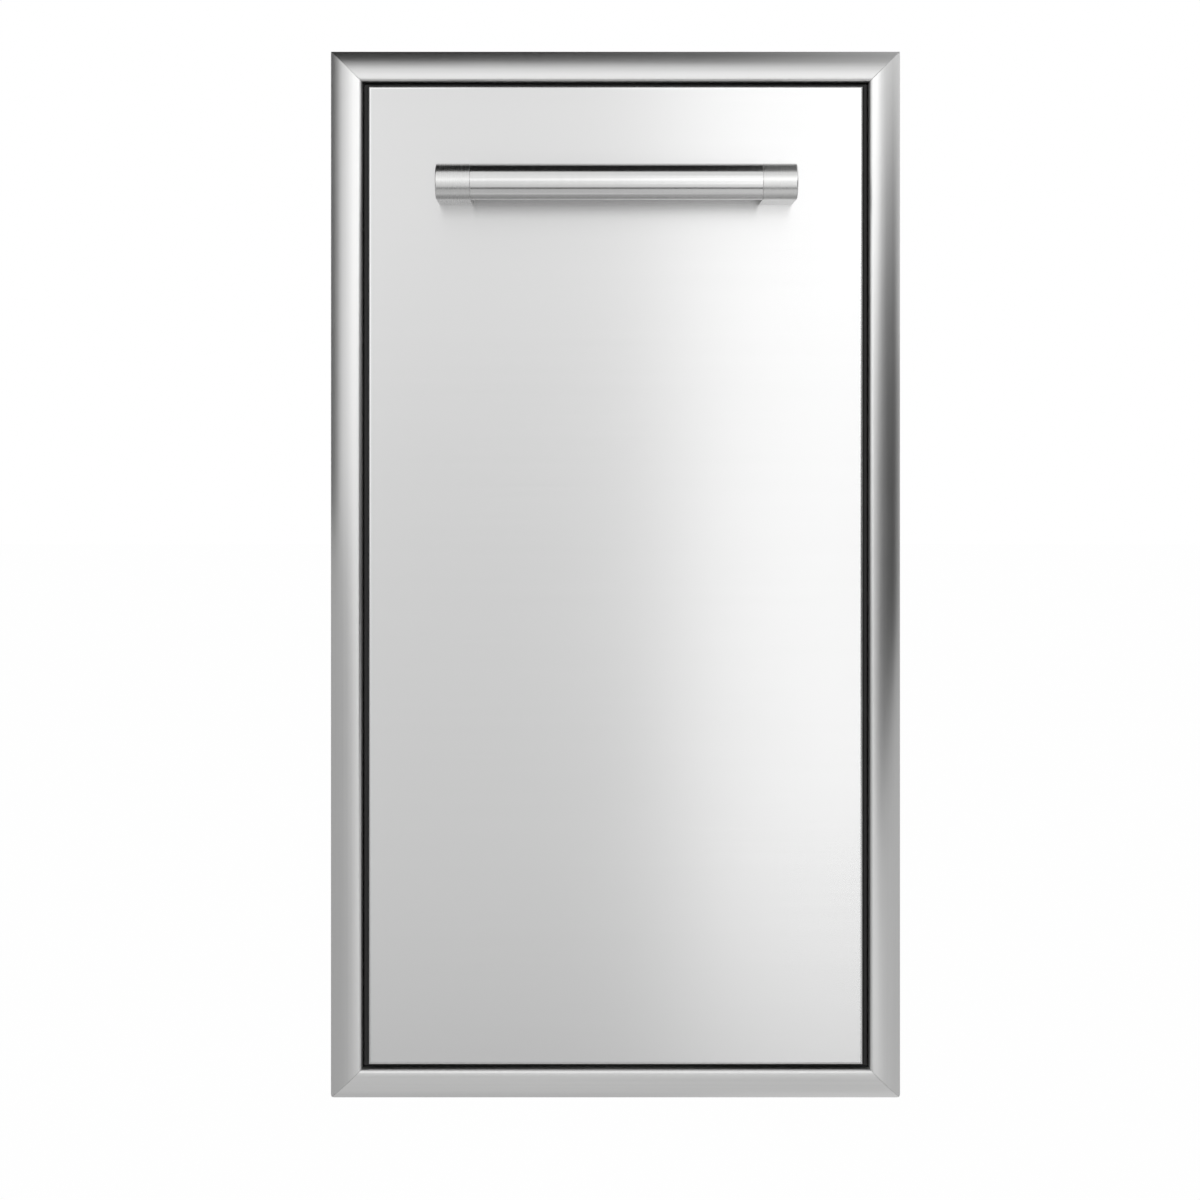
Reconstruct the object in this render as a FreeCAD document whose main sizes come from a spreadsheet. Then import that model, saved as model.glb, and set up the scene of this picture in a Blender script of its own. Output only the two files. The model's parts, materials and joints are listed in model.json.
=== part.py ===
import FreeCAD, Part
import math
import os
import re
import Sketcher

# Pull-out trash drawer for a kitchen island, in millimetres.
# The origin is the middle of the bezel on the wall plane. +Z is up and the front faces -Y.

SIZES = {
    # bezel: mitred rails of folded sheet, convex at the front, with a jamb and a stop flange
    "bezel_width": 381.0,
    "bezel_height": 700.0,
    "rail_width": 21.6,
    "bezel_proud": 14.0,
    "bezel_lip": 2.5,
    "bend_radius": 2.5,
    "sheet_gauge": 1.2,
    "fold_radius": 1.2,
    "fold_relief": 4.0,
    "fold_clear": 0.3,
    "wall_flange": 9.0,
    "stop_flange": 11.0,
    "top_corner_round": 0.6,
    "low_corner_round": 2.5,
    "jamb_hole": 5.5,
    "jamb_hole_height": 230.0,
    "jamb_hole_depth": 5.0,
    "cut_margin": 5.0,
    # front: bent skin with a nested liner, closing on a gasket
    "panel_gap": 4.4,
    "panel_end_gap": 3.0,
    "panel_recess": 0.5,
    "panel_depth": 20.0,
    "panel_bend": 2.8,
    "liner_gauge": 1.0,
    "liner_flange": 10.0,
    "gasket_thick": 4.6,
    "gasket_inset": 0.5,
    "gasket_clear": 0.3,
    "gasket_round": 1.6,
    "gasket_lip_gap": 0.5,
    "gasket_lip_depth": 5.0,
    "gasket_lip_round": 0.5,
    # handle: tube between two end blocks
    "handle_length": 234.6,
    "handle_diameter": 23.4,
    "handle_reach": 48.0,
    "handle_drop": 92.2,
    "handle_end_width": 22.4,
    "handle_end_rim": 0.8,
    "handle_wall": 1.5,
    "spigot_length": 10.0,
    "spigot_clear": 0.05,
    "handle_hole": 5.2,
    "handle_hole_depth": 17.0,
    "access_hole": 15.0,
    "plug_head": 19.0,
    "plug_thick": 1.4,
    "plug_stem": 3.0,
    "plug_wall": 1.5,
    # chassis behind the bezel
    "chassis_depth": 500.0,
    "chassis_flange": 14.0,
    "upright_depth": 70.0,
    "slope_depth": 240.0,
    "band_height": 245.5,
    "band_flange": 9.0,
    "vent_width": 8.0,
    "vent_height": 60.0,
    "vent_round": 3.8,
    "vent_spacing": 48.0,
    "vent_rise": 165.5,
    "drain_hole": 10.0,
    "drain_offset": 90.0,
    "drain_spacing": 180.0,
    # slides: three telescoping members a side, running on caged balls
    "slide_height": 45.0,
    "slide_thick": 12.7,
    "slide_length": 450.0,
    "slide_start": 20.0,
    "slide_rise": 181.0,
    "slide_gauge": 1.2,
    "slide_bend": 0.5,
    "slide_clear": 0.4,
    "slide_lip": 1.4,
    "lip_setback": 1.0,
    "ball_radius": 1.95,
    "ball_clear": 0.1,
    "window_clear": 0.15,
    "ball_spacing": 40.0,
    "cage_gauge": 0.6,
    "cage_length": 220.0,
    "cage_setback": 1.4,
    "slide_hole_spacing": 180.0,
    # release levers in the drawer members
    "lever_pivot": 272.0,
    "lever_hub": 7.0,
    "lever_reach": 52.0,
    "lever_width": 8.0,
    "lever_tip": 10.0,
    "lever_thick": 4.0,
    # carrier box of the drawer
    "carrier_depth": 445.0,
    "carrier_lift": 14.5,
    "carrier_height": 216.0,
    "carrier_flange": 16.0,
    "gusset_height": 451.0,
    "gusset_depth": 40.0,
    "gusset_run": 200.0,
    "clip_height": 18.0,
    "clip_width": 60.0,
    "clip_foot": 14.0,
    "clip_clear": 2.0,
    # bin
    "bin_height": 535.0,
    "bin_top_width": 240.0,
    "bin_top_length": 380.0,
    "bin_base_width": 204.0,
    "bin_base_length": 336.0,
    "bin_top_round": 44.0,
    "bin_base_round": 32.0,
    "bin_wall": 2.5,
    "bin_floor": 3.0,
    "bin_rim": 8.0,
    "bin_rim_thick": 3.0,
    "bin_skirt": 16.0,
    "bin_middle": 223.0,
    "bin_clear": 0.3,
    # fasteners
    "rivet_shank": 3.8,
    "rivet_head": 6.8,
    "rivet_rise": 1.3,
    "rivet_hole": 4.0,
    "rivet_near_height": 80.0,
    "rivet_far_height": 250.0,
    "rivet_spacing": 100.0,
    "rivet_distance": 160.0,
    "rivet_offset": 100.0,
    "screw_shank": 4.6,
    "screw_hole": 4.8,
    "screw_head": 8.6,
    "screw_rise": 2.3,
    "screw_socket": 2.6,
    "screw_socket_depth": 1.3,
    "fixing_inset": 30.0,
    "fixing_spacing": 150.0,
    "fixing_length": 9.0,
    "handle_screw_length": 15.0,
}

SIDES = (("left", -1), ("right", 1))
CCW = 1
CW = -1
SOCKET_SIDES = 6
BALLS_PER_ROW = 5
SLIDE_HOLES = 3
VENTS = 5
FIXINGS = 3
FOOT_RIVETS = 3

# Levels shared by several pieces, as expressions of the sizes above.
HALF_W = "(bezel_width / 2)"
HALF_H = "(bezel_height / 2)"
OPEN_X = "(bezel_width / 2 - rail_width)"
OPEN_Z = "(bezel_height / 2 - rail_width)"
CLEAR_X = f"({OPEN_X} - stop_flange)"
CLEAR_Z = f"({OPEN_Z} - stop_flange)"
PANEL_X = f"({OPEN_X} - panel_gap)"
PANEL_Z = f"({OPEN_Z} - panel_end_gap)"
FACE_Y = "(panel_recess - bezel_proud)"
PANEL_BACK = f"({FACE_Y} + panel_depth)"
STOP_Y = f"({PANEL_BACK} + gasket_clear + gasket_thick)"
STOP_BACK = f"({STOP_Y} + sheet_gauge)"
WEB_X = f"({CLEAR_X} - sheet_gauge)"
FLANGE_X = f"(({CLEAR_X} + {OPEN_X}) / 2)"
FLANGE_Z = f"(({CLEAR_Z} + {OPEN_Z}) / 2)"
HANDLE_Z = f"({HALF_H} - handle_drop)"
HANDLE_X = "(handle_length / 2 - handle_end_width / 2)"
HANDLE_Y = f"({FACE_Y} - handle_reach + handle_diameter / 2)"
FOLD = "(fold_radius + sheet_gauge)"
FOLD_END = f"({FOLD} + fold_relief)"
BAND_TOP = f"(band_height - {CLEAR_Z})"
CARRIER_BASE = f"(carrier_lift - {CLEAR_Z})"
CARRIER_TOP = f"({CARRIER_BASE} + carrier_height)"
GUSSET_TOP = f"({CARRIER_BASE} + gusset_height)"
SLIDE_Z = f"({CARRIER_BASE} + slide_rise)"
CHASSIS_IN = f"({WEB_X} - fold_radius - fold_clear)"
CARRIER_X = f"({WEB_X} - slide_thick)"
CARRIER_IN = f"({CARRIER_X} - sheet_gauge)"
TRAY_IN = f"({CARRIER_IN} - fold_radius - fold_clear)"
TRAY_LOW = f"({CARRIER_BASE} + sheet_gauge)"
TRAY_TOP = f"({TRAY_LOW} + sheet_gauge)"
BIN_BASE = f"({TRAY_TOP} + bin_clear)"
BIN_TOP = f"({BIN_BASE} + bin_height)"
CHASSIS_RIVET_X = f"({CLEAR_X} - chassis_flange / 2 - sheet_gauge)"
CARRIER_RIVET_X = f"({CARRIER_X} - carrier_flange / 2 - sheet_gauge)"

doc = FreeCAD.newDocument("trash_drawer")
sheet = doc.addObject("Spreadsheet::Sheet", "Sizes")
NODES = {}


def fill_sheet():
    """Write every size as plain text in its own row, named by its alias."""
    for row, (alias, number) in enumerate(SIZES.items(), 1):
        sheet.set(f"A{row}", alias)
        sheet.set(f"B{row}", str(number))
        sheet.setAlias(f"B{row}", alias)
    doc.recompute()


def linked(expression):
    """The same expression with each size name pointing at the sheet."""
    def point(word):
        name = word.group()
        return f"Sizes.{name}" if name in SIZES else name
    return re.sub(r"[a-z_]+", point, expression)


def value(expression):
    """The number that an expression gives with the sheet's present sizes."""
    result = sheet.evalExpression(expression)
    return float(getattr(result, "Value", result))


def bind(target, prop, expression):
    target.setExpression(prop, linked(expression))


def new_body(label):
    body = doc.addObject("PartDesign::Body", label)
    body.Label = label
    return body


def node(label):
    """A body that is exported under its own name."""
    body = new_body(label)
    NODES[label] = body
    return body


def rect(low_a, high_a, low_b, high_b):
    return [(low_a, low_b), (high_a, low_b), (high_a, high_b), (low_a, high_b)]


def circle(a, b, diameter):
    return {"a": a, "b": b, "radius": f"({diameter}) / 2"}


def rounded(low_a, high_a, low_b, high_b, radius):
    """A rectangle with arcs at its corners, drawn counter-clockwise."""
    return [
        (low_a, f"{low_b} + {radius}"),
        (f"{low_a} + {radius}", low_b, radius, CCW),
        (f"{high_a} - {radius}", low_b),
        (high_a, f"{low_b} + {radius}", radius, CCW),
        (high_a, f"{high_b} - {radius}"),
        (f"{high_a} - {radius}", high_b, radius, CCW),
        (f"{low_a} + {radius}", high_b),
        (low_a, f"{high_b} - {radius}", radius, CCW),
    ]


def mapped(outline, first, second, mirrors):
    """An outline on other sketch axes; its arcs turn the other way where the map mirrors it."""
    result = []
    for corner in outline:
        spot = (first(corner[0], corner[1]), second(corner[0], corner[1]))
        if len(corner) > 2:
            spot += (corner[2], -corner[3] if mirrors else corner[3])
        result.append(spot)
    return result


def on_side(outline, side):
    """An outline drawn for +X, put on the named side."""
    return mapped(outline, lambda a, b: f"{side} * ({a})", lambda a, b: b, side < 0)


def arc_between(start, end, radius, turn):
    """The shorter arc from start to end, turning counter-clockwise for CCW."""
    chord = end - start
    height = math.sqrt(max(radius ** 2 - (chord.Length / 2) ** 2, 0.0))
    left = FreeCAD.Vector(-chord.y, chord.x, 0).normalize()
    centre = (start + end) / 2 + left * height * turn
    first, last = (start, end) if turn == CCW else (end, start)
    begin = math.atan2(first.y - centre.y, first.x - centre.x)
    finish = math.atan2(last.y - centre.y, last.x - centre.x)
    if finish < begin:
        finish += 2 * math.pi
    return Part.ArcOfCircle(Part.Circle(centre, FreeCAD.Vector(0, 0, 1), radius), begin, finish)


def add_constraints(sketch, constraints):
    """Add (constraint, expression) pairs and bind those that carry an expression."""
    first = sketch.ConstraintCount
    sketch.addConstraint([pair[0] for pair in constraints])
    for index, (_, expression) in enumerate(constraints, first):
        if expression is not None:
            bind(sketch, f"Constraints[{index}]", expression)


def hold_point(geometry, point, spot, a, b):
    """Constraints that keep one point of a sketch at its two coordinates."""
    return [
        (Sketcher.Constraint("DistanceX", -1, 1, geometry, point, spot.x), a),
        (Sketcher.Constraint("DistanceY", -1, 1, geometry, point, spot.y), b),
    ]


def draw_circle(sketch, ring):
    spot = FreeCAD.Vector(value(ring["a"]), value(ring["b"]), 0)
    radius = value(ring["radius"])
    index = sketch.addGeometry(Part.Circle(spot, FreeCAD.Vector(0, 0, 1), radius), False)
    held = hold_point(index, 3, spot, ring["a"], ring["b"])
    held.append((Sketcher.Constraint("Radius", index, radius), ring["radius"]))
    add_constraints(sketch, held)


def draw_outline(sketch, outline):
    """A closed chain of lines and arcs with every corner held at its expressions."""
    base = sketch.GeometryCount
    count = len(outline)
    spots = [FreeCAD.Vector(value(corner[0]), value(corner[1]), 0) for corner in outline]
    pieces = []
    ends = []
    held = []
    for index in range(count):
        target = outline[(index + 1) % count]
        start = spots[index]
        end = spots[(index + 1) % count]
        if len(target) > 2:
            radius = value(target[2])
            pieces.append(arc_between(start, end, radius, target[3]))
            ends.append((1, 2) if target[3] == CCW else (2, 1))
            held.append((Sketcher.Constraint("Radius", base + index, radius), target[2]))
        else:
            pieces.append(Part.LineSegment(start, end))
            ends.append((1, 2))
    sketch.addGeometry(pieces, False)
    for index in range(count):
        after = (index + 1) % count
        meet = (base + index, ends[index][1], base + after, ends[after][0])
        held.append((Sketcher.Constraint("Coincident", *meet), None))
        held += hold_point(base + index, ends[index][0], spots[index], outline[index][0], outline[index][1])
    add_constraints(sketch, held)


def new_sketch(body, plane, start, outlines):
    """A sketch parallel to one of the body's origin planes, at a distance along its axis."""
    sketch = body.newObject("Sketcher::SketchObject", f"{body.Name}_sketch")
    support = [part for part in body.Origin.OriginFeatures if part.Role == f"{plane}_Plane"][0]
    sketch.AttachmentSupport = (support, [""])
    sketch.MapMode = "FlatFace"
    bind(sketch, "AttachmentOffset.Base.z", f"-({start})" if plane == "XZ" else start)
    for outline in outlines:
        if isinstance(outline, dict):
            draw_circle(sketch, outline)
        else:
            draw_outline(sketch, outline)
    sketch.Visibility = False
    return sketch


def plate(body, plane, outlines, start, length):
    """Material from start to start + length along the axis square to the plane."""
    pad = body.newObject("PartDesign::Pad", f"{body.Name}_pad")
    pad.Profile = new_sketch(body, plane, start, outlines)
    pad.Reversed = plane == "XZ"
    bind(pad, "Length", length)
    body.Tip = pad
    return pad


def cut(body, plane, outlines, start, length):
    """The same span taken away."""
    pocket = body.newObject("PartDesign::Pocket", f"{body.Name}_pocket")
    pocket.Profile = new_sketch(body, plane, start, outlines)
    pocket.Reversed = plane != "XZ"
    bind(pocket, "Length", length)
    body.Tip = pocket
    return pocket


def fold(body, plane, corner, web, flange, span, reach):
    """The bend and flange at the edge of a sheet, along a span square to the plane.

    corner is where the outer faces of web and flange would meet, and the two directions lead
    from it into the web and along the flange, which ends at reach.
    """
    strip = [
        (FOLD, "0"),
        ("0", FOLD, FOLD, CW),
        ("0", reach),
        ("sheet_gauge", reach),
        ("sheet_gauge", FOLD),
        (FOLD, "sheet_gauge", "fold_radius", CCW),
    ]
    outline = mapped(
        strip,
        lambda p, q: f"{corner[0]} + {web[0]} * ({p}) + {flange[0]} * ({q})",
        lambda p, q: f"{corner[1]} + {web[1]} * ({p}) + {flange[1]} * ({q})",
        web[0] * flange[1] < web[1] * flange[0],
    )
    start, end = span
    plate(body, plane, [outline], start, f"({end}) - ({start})")


def turned(body, outline):
    """A full turn about +Z of an outline in the XZ plane."""
    sketch = new_sketch(body, "XZ", "0", [outline])
    turn = body.newObject("PartDesign::Revolution", f"{body.Name}_turn")
    turn.Profile = sketch
    turn.ReferenceAxis = (sketch, ["V_Axis"])
    body.Tip = turn
    return turn


def soften(body, radius, chosen):
    """Round the edges of the body's present shape that a test picks by their middle and direction."""
    doc.recompute()
    base = body.Tip
    names = []
    for index, edge in enumerate(base.Shape.Edges, 1):
        middle = edge.valueAt((edge.FirstParameter + edge.LastParameter) / 2)
        run = edge.Vertexes[-1].Point - edge.Vertexes[0].Point
        if chosen(middle, run):
            names.append(f"Edge{index}")
    fillet = body.newObject("PartDesign::Fillet", f"{body.Name}_round")
    fillet.Base = (base, names)
    bind(fillet, "Radius", radius)
    body.Tip = fillet
    return fillet


def close(one, other):
    return abs(one - other) < 1e-4


def across(side, near, thick):
    """Start of a span that lies between near and near + thick from the middle plane."""
    return near if side > 0 else f"-({near}) - ({thick})"


def group(label, master, places):
    """Copies of one fastener as separate solids; a place is a position and the way its head points."""
    copies = []
    for index, (spot, way) in enumerate(places):
        copy = doc.addObject("App::Link", f"{label}_{index}")
        copy.LinkedObject = master
        turn = FreeCAD.Rotation(FreeCAD.Vector(0, 0, 1), FreeCAD.Vector(*way))
        copy.Placement = FreeCAD.Placement(FreeCAD.Vector(), turn)
        for axis, expression in zip("xyz", spot):
            bind(copy, f"Placement.Base.{axis}", expression)
        copies.append(copy)
    return compound(label, copies)


def compound(label, pieces):
    whole = doc.addObject("Part::Compound", label)
    whole.Label = label
    whole.Links = pieces
    NODES[label] = whole
    return whole


# Bezel

STILE_ROWS = ["-rivet_far_height", "-rivet_near_height", "rivet_near_height", "rivet_far_height"]
SILL_SPOTS = ["-rivet_spacing", "0", "rivet_spacing"]
RUN = "(rail_width - bend_radius)"
RISE = "(bezel_proud - bezel_lip)"
SWEEP = f"(({RUN} ^ 2 + {RISE} ^ 2) / (2 * {RISE}))"
INNER_LIP = f"(bezel_proud - {SWEEP} + sqrt(({SWEEP} - sheet_gauge) ^ 2 - ({RUN} - sheet_gauge) ^ 2))"
REACH = "(rail_width + stop_flange + cut_margin)"

# Section of a rail: distance in from the outer edge, then distance proud of the wall.
RAIL_SECTION = [
    ("0", "0"),
    ("0", "bezel_lip"),
    (RUN, "bezel_proud", SWEEP, CW),
    ("rail_width", "bezel_proud - bend_radius", "bend_radius", CW),
    ("rail_width", f"fold_radius - {STOP_Y}"),
    ("rail_width + fold_radius", f"-{STOP_Y}", "fold_radius", CCW),
    ("rail_width + stop_flange", f"-{STOP_Y}"),
    ("rail_width + stop_flange", f"-{STOP_BACK}"),
    ("rail_width + fold_radius", f"-{STOP_BACK}"),
    ("rail_width - sheet_gauge", f"{FOLD} - {STOP_BACK}", FOLD, CW),
    ("rail_width - sheet_gauge", "bezel_proud - bend_radius"),
    (RUN, "bezel_proud - sheet_gauge", "bend_radius - sheet_gauge", CCW),
    ("sheet_gauge", INNER_LIP, f"{SWEEP} - sheet_gauge", CCW),
    ("sheet_gauge", "sheet_gauge"),
    ("wall_flange", "sheet_gauge"),
    ("wall_flange", "0"),
]


def mitre(radius, stile):
    """What a mitre takes off the upper right corner, with the rounded tip of that corner."""
    tip = f"{radius} * (1 - sqrt(2) / 2)"
    line = [
        (f"{HALF_W} - {REACH}", f"{HALF_H} - {REACH}"),
        (f"{HALF_W} - {tip}", f"{HALF_H} - {tip}"),
    ]
    if stile:
        return line + [
            (HALF_W, f"{HALF_H} - {radius}", radius, CW),
            (f"{HALF_W} + cut_margin", f"{HALF_H} - {radius}"),
            (f"{HALF_W} + cut_margin", f"{HALF_H} + cut_margin"),
            (f"{HALF_W} - {REACH}", f"{HALF_H} + cut_margin"),
        ]
    return line + [
        (f"{HALF_W} - {radius}", HALF_H, radius, CCW),
        (f"{HALF_W} - {radius}", f"{HALF_H} + cut_margin"),
        (f"{HALF_W} + cut_margin", f"{HALF_H} + cut_margin"),
        (f"{HALF_W} + cut_margin", f"{HALF_H} - {REACH}"),
    ]


def mitre_at(sign_x, sign_z, stile):
    radius = "top_corner_round" if sign_z > 0 else "low_corner_round"
    return mapped(
        mitre(radius, stile),
        lambda a, b: f"{sign_x} * ({a})",
        lambda a, b: f"{sign_z} * ({b})",
        sign_x * sign_z < 0,
    )


def cut_through_bezel(body, outlines):
    cut(body, "XZ", outlines, "-(bezel_proud + cut_margin)", f"bezel_proud + {STOP_BACK} + 2 * cut_margin")


def build_bezel():
    for name, sign in (("bezel_top_rail", 1), ("bezel_bottom_rail", -1)):
        rail = node(name)
        section = mapped(
            RAIL_SECTION,
            lambda u, d: f"-({d})",
            lambda u, d, sign=sign: f"{sign} * ({HALF_H} - ({u}))",
            sign > 0,
        )
        plate(rail, "YZ", [section], f"-{HALF_W}", "bezel_width")
        cut_through_bezel(rail, [mitre_at(-1, sign, False), mitre_at(1, sign, False)])
        if sign < 0:
            holes = [circle(spot, f"-{FLANGE_Z}", "rivet_hole") for spot in SILL_SPOTS]
            cut(rail, "XZ", holes, f"{STOP_Y} - cut_margin", "sheet_gauge + 2 * cut_margin")
    for name, side in SIDES:
        stile = node(f"bezel_{name}_stile")
        section = mapped(
            RAIL_SECTION,
            lambda u, d, side=side: f"{side} * ({HALF_W} - ({u}))",
            lambda u, d: f"-({d})",
            side < 0,
        )
        plate(stile, "XY", [section], f"-{HALF_H}", "bezel_height")
        cut_through_bezel(stile, [mitre_at(side, -1, True), mitre_at(side, 1, True)])
        holes = [circle(f"{side} * {FLANGE_X}", level, "rivet_hole") for level in STILE_ROWS]
        cut(stile, "XZ", holes, f"{STOP_Y} - cut_margin", "sheet_gauge + 2 * cut_margin")
        spots = [f"{sign} * jamb_hole_height" for sign in (-1, 1)]
        holes = [circle("jamb_hole_depth", spot, "jamb_hole") for spot in spots]
        jamb = across(side, f"{OPEN_X} - sheet_gauge", "3 * sheet_gauge")
        cut(stile, "YZ", holes, jamb, "3 * sheet_gauge")


def build_gasket():
    """Rubber seal on the stop flange: a bed behind the front, and a lip that stands round its edge."""
    gasket = node("door_gasket")
    near_x = f"({CLEAR_X} + gasket_inset)"
    near_z = f"({CLEAR_Z} + gasket_inset)"
    lip_x = f"({PANEL_X} + gasket_lip_gap)"
    lip_z = f"({PANEL_Z} + gasket_lip_gap)"
    far_x = f"({OPEN_X} - fold_radius)"
    far_z = f"({OPEN_Z} - fold_radius)"
    outside = rect(f"-{far_x}", far_x, f"-{far_z}", far_z)
    bed = [outside, rect(f"-{near_x}", near_x, f"-{near_z}", near_z)]
    plate(gasket, "XZ", bed, f"{STOP_Y} - gasket_thick", "gasket_thick")
    lip = [outside, rect(f"-{lip_x}", lip_x, f"-{lip_z}", lip_z)]
    tip = f"({FACE_Y} + gasket_lip_depth)"
    plate(gasket, "XZ", lip, tip, f"{STOP_Y} - {tip}")
    front = value(tip)
    soften(gasket, "gasket_lip_round", lambda middle, run: close(middle.y, front))
    inner_x = value(near_x)
    inner_z = value(near_z)
    face = value(f"{STOP_Y} - gasket_thick")
    soften(
        gasket,
        "gasket_round",
        lambda middle, run: close(middle.y, face)
        and (close(abs(middle.x), inner_x) or close(abs(middle.z), inner_z)),
    )


# Chassis

def build_side_panel(name, side):
    """Folded side of the chassis: a flange on the bezel, feet and rear flange inwards, a shelf outwards."""
    panel = node(f"side_panel_{name}")
    web = [
        (f"{STOP_BACK} + {FOLD}", f"{FOLD} - {CLEAR_Z}"),
        (f"chassis_depth - {FOLD}", f"{FOLD} - {CLEAR_Z}"),
        (f"chassis_depth - {FOLD}", f"{BAND_TOP} - {FOLD}"),
        ("slope_depth", f"{BAND_TOP} - {FOLD}"),
        ("upright_depth", CLEAR_Z),
        (f"{STOP_BACK} + {FOLD}", CLEAR_Z),
    ]
    plate(panel, "YZ", [web], across(side, WEB_X, "sheet_gauge"), "sheet_gauge")
    inner = f"{side} * {WEB_X}"
    outer = f"{side} * {CLEAR_X}"
    upright = (f"-{CLEAR_Z}", CLEAR_Z)
    low = (f"{STOP_BACK} + {FOLD_END}", f"chassis_depth - {FOLD_END}")
    back = (f"{FOLD_END} - {CLEAR_Z}", f"{BAND_TOP} - {FOLD_END}")
    high = ("slope_depth + fold_relief", f"chassis_depth - {FOLD_END}")
    fold(panel, "XY", (inner, STOP_BACK), (0, 1), (side, 0), upright, "stop_flange")
    fold(panel, "XZ", (outer, f"-{CLEAR_Z}"), (0, 1), (-side, 0), low, "chassis_flange")
    fold(panel, "XY", (outer, "chassis_depth"), (0, -1), (-side, 0), back, "chassis_flange")
    fold(panel, "XZ", (inner, BAND_TOP), (0, -1), (side, 0), high, "band_flange + sheet_gauge")
    holes = [circle(slide_spot(index), SLIDE_Z, "screw_hole") for index in range(SLIDE_HOLES)]
    cut(panel, "YZ", holes, across(side, f"{WEB_X} - sheet_gauge", "3 * sheet_gauge"), "3 * sheet_gauge")
    holes = [circle(f"{side} * {FLANGE_X}", level, "rivet_hole") for level in STILE_ROWS]
    cut(panel, "XZ", holes, f"{STOP_BACK} - sheet_gauge", "3 * sheet_gauge")
    holes = [circle(f"{side} * {CHASSIS_RIVET_X}", level, "rivet_hole") for level in BACK_ROWS]
    cut(panel, "XZ", holes, "chassis_depth - 2 * sheet_gauge", "3 * sheet_gauge")
    holes = [circle(f"{side} * {CHASSIS_RIVET_X}", spot, "rivet_hole") for spot in FOOT_ROWS]
    cut(panel, "XY", holes, f"-{CLEAR_Z} - sheet_gauge", "3 * sheet_gauge")


BACK_ROWS = [
    f"-{CLEAR_Z} + rivet_spacing / 4",
    f"band_height / 2 - {CLEAR_Z}",
    f"{BAND_TOP} - rivet_spacing / 4",
]
FOOT_ROWS = [f"rivet_offset + {index} * rivet_distance" for index in range(FOOT_RIVETS)]


def slide_spot(index):
    return f"slide_start + slide_length / 2 + {index - SLIDE_HOLES // 2} * slide_hole_spacing"


def on_both_sides(offset, spots, diameter):
    """Holes at the same offset left and right, at each of the spots along them."""
    return [circle(f"{side} * {offset}", spot, diameter) for _, side in SIDES for spot in spots]


def build_back_panel():
    panel = node("back_panel")
    wall = rect(f"-{CHASSIS_IN}", CHASSIS_IN, f"2 * sheet_gauge - {CLEAR_Z}", f"{BAND_TOP} - {FOLD}")
    plate(panel, "XZ", [wall], "chassis_depth - 2 * sheet_gauge", "sheet_gauge")
    edge = ("chassis_depth - sheet_gauge", BAND_TOP)
    fold(panel, "YZ", edge, (0, -1), (-1, 0), (f"-{CHASSIS_IN}", CHASSIS_IN), "band_flange + sheet_gauge")
    slots = []
    for index in range(VENTS):
        middle = f"{index - VENTS // 2} * vent_spacing"
        low = f"(vent_rise - {CLEAR_Z} - vent_height / 2)"
        high = f"(vent_rise - {CLEAR_Z} + vent_height / 2)"
        left = f"({middle} - vent_width / 2)"
        right = f"({middle} + vent_width / 2)"
        slots.append(rounded(left, right, low, high, "vent_round"))
    holes = on_both_sides(CHASSIS_RIVET_X, BACK_ROWS, "rivet_hole")
    cut(panel, "XZ", slots + holes, "chassis_depth - 3 * sheet_gauge", "3 * sheet_gauge")


def build_base_pan():
    pan = node("base_pan")
    floor = rect(f"-{CHASSIS_IN}", CHASSIS_IN, f"{STOP_BACK} + {FOLD}", "chassis_depth - 2 * sheet_gauge")
    plate(pan, "XY", [floor], f"sheet_gauge - {CLEAR_Z}", "sheet_gauge")
    reach = f"({CLEAR_X} - chassis_flange - sheet_gauge)"
    edge = (STOP_BACK, f"2 * sheet_gauge - {CLEAR_Z}")
    fold(pan, "YZ", edge, (1, 0), (0, -1), (f"-{reach}", reach), "stop_flange + sheet_gauge")
    holes = [circle(spot, f"-{FLANGE_Z}", "rivet_hole") for spot in SILL_SPOTS]
    cut(pan, "XZ", holes, f"{STOP_BACK} - sheet_gauge", "3 * sheet_gauge")
    holes = on_both_sides(CHASSIS_RIVET_X, FOOT_ROWS, "rivet_hole")
    drain_rows = [f"chassis_depth / 2 + {end} * drain_spacing" for end in (-1, 0, 1)]
    drains = on_both_sides("drain_offset", drain_rows, "drain_hole")
    cut(pan, "XY", holes + drains, f"-{CLEAR_Z}", "3 * sheet_gauge")


# Slides: t is the distance in from the side panel, v the height above the middle of the slide.

LEG_TOP = "(slide_height / 2)"
LEG_LOW = f"({LEG_TOP} - slide_gauge)"
OUTER_BALL_V = f"({LEG_LOW} - ball_clear - ball_radius)"
MIDDLE_TOP = f"({OUTER_BALL_V} - ball_radius - ball_clear)"
MIDDLE_LOW = f"({MIDDLE_TOP} - slide_gauge)"
INNER_BALL_V = f"({MIDDLE_LOW} - ball_clear - ball_radius)"
INNER_TOP = f"({INNER_BALL_V} - ball_radius - ball_clear)"
INNER_LOW = f"({INNER_TOP} - slide_gauge)"
OUTER_CAGE_T = "(slide_gauge + slide_clear)"
MIDDLE_T = f"({OUTER_CAGE_T} + cage_gauge + slide_clear)"
INNER_CAGE_T = f"({MIDDLE_T} + slide_gauge + slide_clear)"
INNER_T = f"({INNER_CAGE_T} + cage_gauge + slide_clear)"
WEB_T = "(slide_thick - slide_gauge)"
OUTER_END_T = f"({WEB_T} - lip_setback)"
MIDDLE_END_T = f"({WEB_T} - slide_clear)"
OUTER_BALL_T = f"(({MIDDLE_T} + {OUTER_END_T} - slide_gauge) / 2)"
INNER_BALL_T = f"(({INNER_T} + {WEB_T}) / 2)"
CAGE_START = "(slide_start + (slide_length - cage_length) / 2)"


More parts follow.
